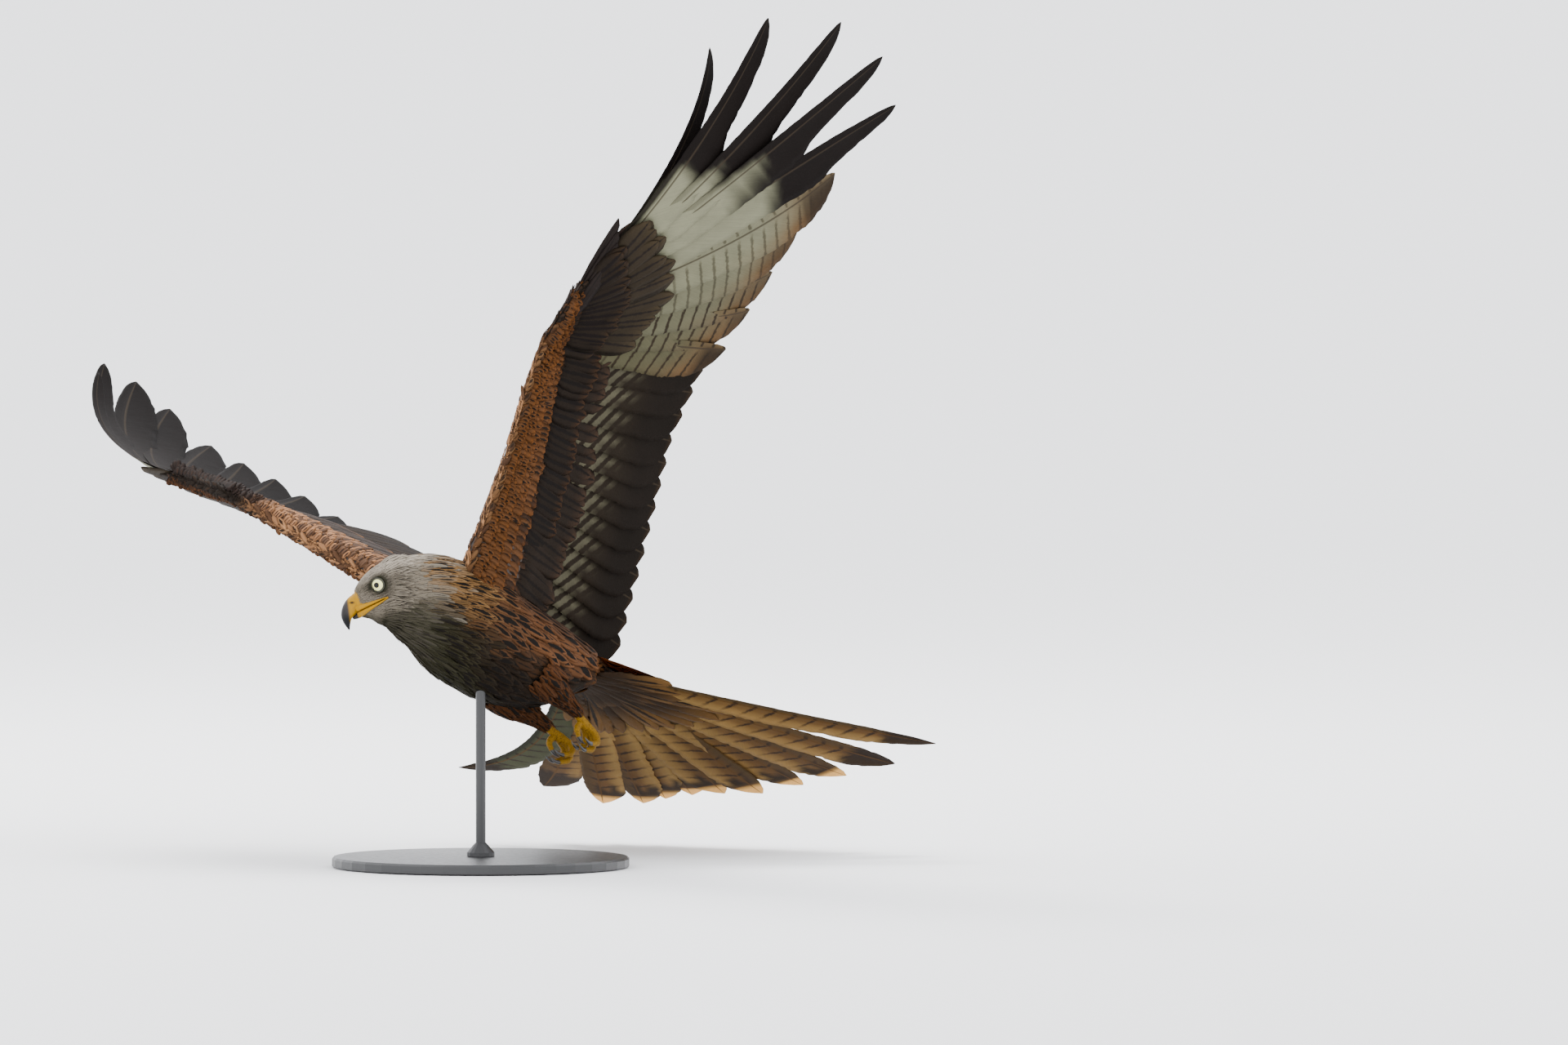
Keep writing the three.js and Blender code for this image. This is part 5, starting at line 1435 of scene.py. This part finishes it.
def eye_finish():
    f = Finish("eye")
    iris = f.split(f.attribute("look"))[0]
    fleck = f.noise(1400, 3)
    edge = f.times(fleck, 0.3, -0.15)
    r = f.sum("ADD", iris, edge)
    colour = f.mix(f.fall(r, 2.6, 3.0, 0.0, 1.0), dye(8, 7, 7), dye(226, 222, 198))
    colour = f.mix(f.fall(r, 3.2, 5.4, 0.0, 0.6), colour, dye(238, 235, 216))
    colour = f.mix(f.fall(r, 5.5, 6.0, 0.0, 1.0), colour, dye(44, 40, 30))
    return f.shade(colour, 0.12, f.bump(fleck, 0.05, 0.0001),
                   {"Specular IOR Level": 0.1, "Coat Weight": 0.2, "Coat Roughness": 0.02})


def build_eyes():
    finish = eye_finish()
    for name, side in SIDES.items():
        look = unit(HEAD_LEFT * side * EYE_LOOK[1] - HEAD_BACK * EYE_LOOK[0] + HEAD_UP * EYE_LOOK[2])
        centre = in_head(EYE_PLACE[0], side * EYE_PLACE[1], EYE_PLACE[2])
        turn = Vector(Z).rotation_difference(Vector(look)).to_matrix().to_4x4()
        bpy.ops.object.select_all(action="DESELECT")
        bpy.ops.mesh.primitive_uv_sphere_add(segments=64, ring_count=48, radius=EYE_RADIUS)
        ball, co = primitive(f"eyeball_{name}", finish)
        radial = np.hypot(co[:, 0], co[:, 1])
        front = co[:, 2] > 0
        co[:, 2] += np.where(front, CORNEA_BULGE * (1 - smooth(2.5, 5.8, radial)), 0)
        layer = ball.data.attributes.new("look", "FLOAT_VECTOR", "POINT")
        far = np.where(front, radial, 9.0)
        layer.data.foreach_set("vector", np.stack([far, far, far], 1).astype(np.float32).ravel())
        settled(ball, co, Matrix.Translation(centre) @ turn, f"eye_{name}")
        bpy.ops.object.select_all(action="DESELECT")
        bpy.ops.mesh.primitive_torus_add(major_radius=LID_RADIUS, minor_radius=LID_HALF_THICKNESS,
                                         major_segments=72, minor_segments=20)
        rim, co = primitive(f"eyelid_{name}", lid_skin)
        co[:, 2] *= 1 + 0.05 * np.sin(24 * np.arctan2(co[:, 1], co[:, 0]))
        settled(rim, co, Matrix.Translation(centre + look * LID_FORWARD) @ turn, "head")


lid_skin = grained_finish("lid_skin", 1200, dye(52, 50, 36), dye(92, 90, 66), 0.6, 0.5, 0.0003)


# Ahead, up, half depth and half width along the two halves of the bill
UPPER_BILL = [(19, 1.2, 8.6, 9), (21, 0.6, 8.4, 8.8), (26, -0.9, 8.2, 8.4), (30.5, -3.3, 7.6, 7.6),
              (34, -6.2, 6.7, 6.6), (36.7, -9.7, 5.5, 5.2), (38.1, -13.6, 4, 3.8), (38.7, -17.2, 2.7, 2.5),
              (39, -20.4, 1.5, 1.4), (39.2, -23.4, 0.35, 0.35)]
LOWER_BILL = [(18, -11.6, 4, 8.2), (20, -12, 3.9, 8), (25, -13, 3.2, 6.6), (28.6, -13.6, 2.4, 4.6),
              (31.4, -14.2, 1, 2)]


bill_horn = ground_finish("bill_horn", 700, 5, (0.35, 0.82), (0.25, 0.24), 0.25, 0.0002,
                          {"Specular IOR Level": 0.12, "Coat Weight": 0.08, "Coat Roughness": 0.2})


BILL_ROUNDNESS = 2.1


def bill_half(node, stations, steps, belly):
    """A half of the bill, smooth along its bent axis, with nostrils in the upper one."""
    table = np.array(stations, float)
    places = np.linspace(0, len(table) - 1, steps)
    curve = np.array([[eased(column, q) for column in table.T] for q in places])
    run = np.gradient(curve[:, :2], axis=0)
    run /= np.linalg.norm(run, axis=1, keepdims=True)
    cos, sin = fuller(circle(64), BILL_ROUNDNESS)
    grid = []
    for (a, u, deep, wide), (ra, ru) in zip(curve, run):
        deep = np.where(sin < 0, deep * belly, deep)
        grid.append(np.stack([a + sin * deep * -ru, cos * wide, u + sin * deep * ra], 1))
    a, s, u = np.moveaxis(np.array(grid), 2, 0)
    points = HEAD_CENTRE + (-a[..., None] * HEAD_BACK + s[..., None] * HEAD_LEFT + u[..., None] * HEAD_UP)
    if node == "bill_upper":
        on, off = a - NOSTRIL[0], u - NOSTRIL[1] - NOSTRIL_SLOPE * (a - NOSTRIL[0])
        hole = np.exp(-((on / NOSTRIL_SIZE[0]) ** 2 + (off / NOSTRIL_SIZE[1]) ** 2)) * (np.abs(s) > 3)
        points = points - np.sign(s)[..., None] * HEAD_LEFT * (NOSTRIL_DEPTH * hole)[..., None]
        tip = smooth(-4, -14, u) * 0.75 + smooth(33, 38, a) * 0.45
        horn = mixed(dye(84, 78, 78), dye(20, 20, 24), tip)
        ground = mixed(YELLOW, horn, smooth(-1.4, 1.6, a - (32.0 - 0.25 * (u + 4))))
        # the nostril's dent is painted dark brown: painted shade inside the opening
        ground = mixed(ground, dye(40, 24, 12), np.clip(hole * 1.6, 0, 1))
    else:
        ground = mixed(YELLOW, dye(44, 42, 44), smooth(24.5, 27, a))
    lofted(f"{node}_horn", [points], bill_horn, (node,), ground)


def tube_grid(points, radii, around, bumps=0.0, pitch=2.6):
    """A tube through points, smoothly eased, with scale ridges across it."""
    place = np.linspace(0, len(points) - 1, 26 * (len(points) - 1))
    path = np.array([path_point(np.array(points), q) for q in place])
    run = unit(np.gradient(path, axis=0))
    across = unit(np.cross(run, X))
    up = np.cross(across, run)
    radius = np.array([eased(radii, q) for q in place])
    far = np.concatenate([[0], np.cumsum(np.linalg.norm(np.diff(path, axis=0), axis=1))])
    cos, sin = np.cos(circle(around)), np.sin(circle(around))
    ridge = bumps * np.abs(np.sin(np.pi * far / pitch))[:, None] * (0.6 + 0.4 * cos)[None]
    r = np.maximum(radius[:, None] + ridge, 0.05)
    return path[:, None] + (r * cos)[..., None] * across[:, None] + (r * sin)[..., None] * up[:, None]


def foot_finish():
    f = Finish("scaly_skin")
    grain = f.noise(500, 4)
    cells = f.node("ShaderNodeTexVoronoi", feature="DISTANCE_TO_EDGE")
    cells.inputs["Scale"].default_value = 620
    f.put(cells.inputs["Vector"], f.node("ShaderNodeTexCoord").outputs["Object"])
    seam = f.fall(cells.outputs["Distance"], 0.0, 0.12, 0.0, 1.0)
    colour = f.mix(grain, YELLOW * 0.35, YELLOW * 0.85)
    colour = f.mix(seam, YELLOW * 0.25, colour)
    return f.shade(colour, f.times(grain, 0.3, 0.42), f.bump(seam, 0.6, 0.0004),
                   {"Specular IOR Level": 0.12})


def claw_finish():
    f = Finish("claw_horn")
    grain = f.noise(800, 4)
    return f.shade(f.mix(grain, dye(22, 20, 20), dye(52, 46, 44)), f.times(grain, 0.25, 0.22),
                   f.bump(grain, 0.2, 0.0002), {"Coat Weight": 0.3, "Coat Roughness": 0.15})


def toe_path(side, toe):
    long, across_by, hind = toe
    mirror = np.array([side, 1, 1])
    heel = FOOT * mirror
    shin = unit(heel - ANKLE * mirror)
    down = unit(-Z + shin * shin[2])
    across = unit(np.cross(shin, down))
    points = [heel + across * 2.4 * across_by]
    for k in range(3):
        curl = 2.6 - 0.95 * k if hind else 0.25 + 0.95 * k
        run = unit(shin * np.cos(curl) + down * np.sin(curl) + across * (0.3 * across_by if k < 2 else 0))
        points.append(points[k] + run * long / 3)
    return points


def build_feet():
    skin, horn = foot_finish(), claw_finish()
    for name, side in SIDES.items():
        ankle, heel = ANKLE * [side, 1, 1], FOOT * [side, 1, 1]
        shank = [ankle + (ankle - heel) * 0.2, ankle, (ankle + heel) / 2, heel, heel + (heel - ankle) * 0.12]
        grids = [tube_grid(shank, SHANK_RADII, 28, 0.5)]
        for i, toe in enumerate(TOES):
            path = toe_path(side, toe)
            grids.append(tube_grid([path[0] * 0.9 + heel * 0.1, *path[1:]], TOE_RADII, 22, 0.45, 2.3))
            run = unit(path[-1] - path[-2])
            points = [path[-1] - run]
            for k in (1, 2, 3):
                bent = spin(X, (1 if toe[2] else -1) * CLAW_CURL * k / DEG) @ run
                points.append(points[-1] + bent * CLAW_STEP)
            lofted(f"talon_{name}_{i + 1}", [tube_grid(points, CLAW_RADII, 24)], horn,
                   (f"claw_{name}_{i + 1}",))
        lofted(f"foot_{name}_skin", grids, skin, (f"foot_{name}",))


# Stand, floor, light and camera
def finish_stand():
    f = Finish("stand_paint")
    grain = f.noise(240, 5)
    wear = f.fall(f.noise(30, 4), 0.62, 0.75, 0.0, 0.25)
    colour = f.mix(grain, dye(40, 41, 43), dye(58, 59, 61))
    colour = f.mix(wear, colour, dye(88, 88, 88))
    paint = f.shade(colour, f.times(grain, 0.25, 0.3), f.bump(grain, 0.12, 0.0003),
                    {"Metallic": 0.0, "Coat Weight": 0.15, "Coat Roughness": 0.4})
    for name in ("stand_base", "stand_rod"):
        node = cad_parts[name]
        node.data.materials.clear()
        node.data.materials.append(paint)


FLOOR_RADIUS = 140
SKY_COLOUR = (0.89, 0.9, 0.93, 1)
SKY_STRENGTH = 3.05
LAMPS_AIM = (0, 0.1, 0.45)
LAMPS = [("key", 150, 1.4, (-2.2, 0.9, 3.0)), ("fill", 8, 2.4, (0.8, -3.0, 1.2))]


def build_room():
    bpy.ops.object.select_all(action="DESELECT")
    bpy.ops.mesh.primitive_circle_add(vertices=128, radius=FLOOR_RADIUS, fill_type="NGON",
                                      location=(0, 0, -0.001))
    floor = bpy.context.object
    floor.name = "floor"
    f = Finish("pale_floor")
    colour = f.mix(f.noise(0.4, 2), dye(232, 233, 236), dye(236, 237, 240))
    floor.data.materials.append(f.shade(colour, 0.9, f.bump(f.noise(40, 2), 0.02, 0.001)))
    world = bpy.context.scene.world or bpy.data.worlds.new("studio")
    bpy.context.scene.world = world
    world.use_nodes = True
    sky = world.node_tree.nodes["Background"]
    sky.inputs["Color"].default_value = SKY_COLOUR
    sky.inputs["Strength"].default_value = SKY_STRENGTH
    for name, energy, size, place in LAMPS:
        lamp = bpy.data.lights.new(name, "AREA")
        lamp.energy = energy
        lamp.size = size
        holder = bpy.data.objects.new(name, lamp)
        bpy.context.scene.collection.objects.link(holder)
        holder.location = place
        aim = Vector(LAMPS_AIM) - Vector(place)
        holder.rotation_euler = aim.to_track_quat("-Z", "Y").to_euler()


CAMERA_AZIMUTH = 50.3
CAMERA_UP = 3.0
CAMERA_AWAY = 45.0
FRAME_WIDTH = 1.579
SENSOR_WIDTH = 36
CLIP_END = 250
TARGET_RIGHT = 0.3006
TARGET_UP = 0.10705


def build_camera():
    a, e = CAMERA_AZIMUTH * DEG, CAMERA_UP * DEG
    right = Vector((np.cos(a), np.sin(a), 0))
    toward = Vector((np.sin(a) * np.cos(e), -np.cos(a) * np.cos(e), np.sin(e)))
    up = toward.cross(right)
    origin = Vector(STANCE_AT) * MM
    target = origin + right * TARGET_RIGHT + up * TARGET_UP
    camera = bpy.data.cameras.new("camera")
    camera.sensor_width = SENSOR_WIDTH
    camera.lens = SENSOR_WIDTH * CAMERA_AWAY / FRAME_WIDTH
    camera.clip_end = CLIP_END
    holder = bpy.data.objects.new("camera", camera)
    bpy.context.scene.collection.objects.link(holder)
    holder.location = target + toward * CAMERA_AWAY
    holder.rotation_euler = (-toward).to_track_quat("-Z", "Y").to_euler()
    bpy.context.scene.camera = holder


surface = body_surface()
build_skin(surface)
build_mouth_rims(surface)
build_body(surface)
build_thighs()
for wing in (LEFT_WING, RIGHT_WING):
    build_wing(wing)
tail_hub()
feather_piece("tail_feathers", [rectrices()], tail_finish, ("tail",))
feather_piece("tail_coverts", tail_coverts(1) + tail_coverts(-1), covert_finish, ("tail",))
build_eyes()
bill_half("bill_upper", UPPER_BILL, 70, belly=1.16)
bill_half("bill_lower", LOWER_BILL, 40, belly=1.0)
build_feet()
finish_stand()
build_room()
build_camera()
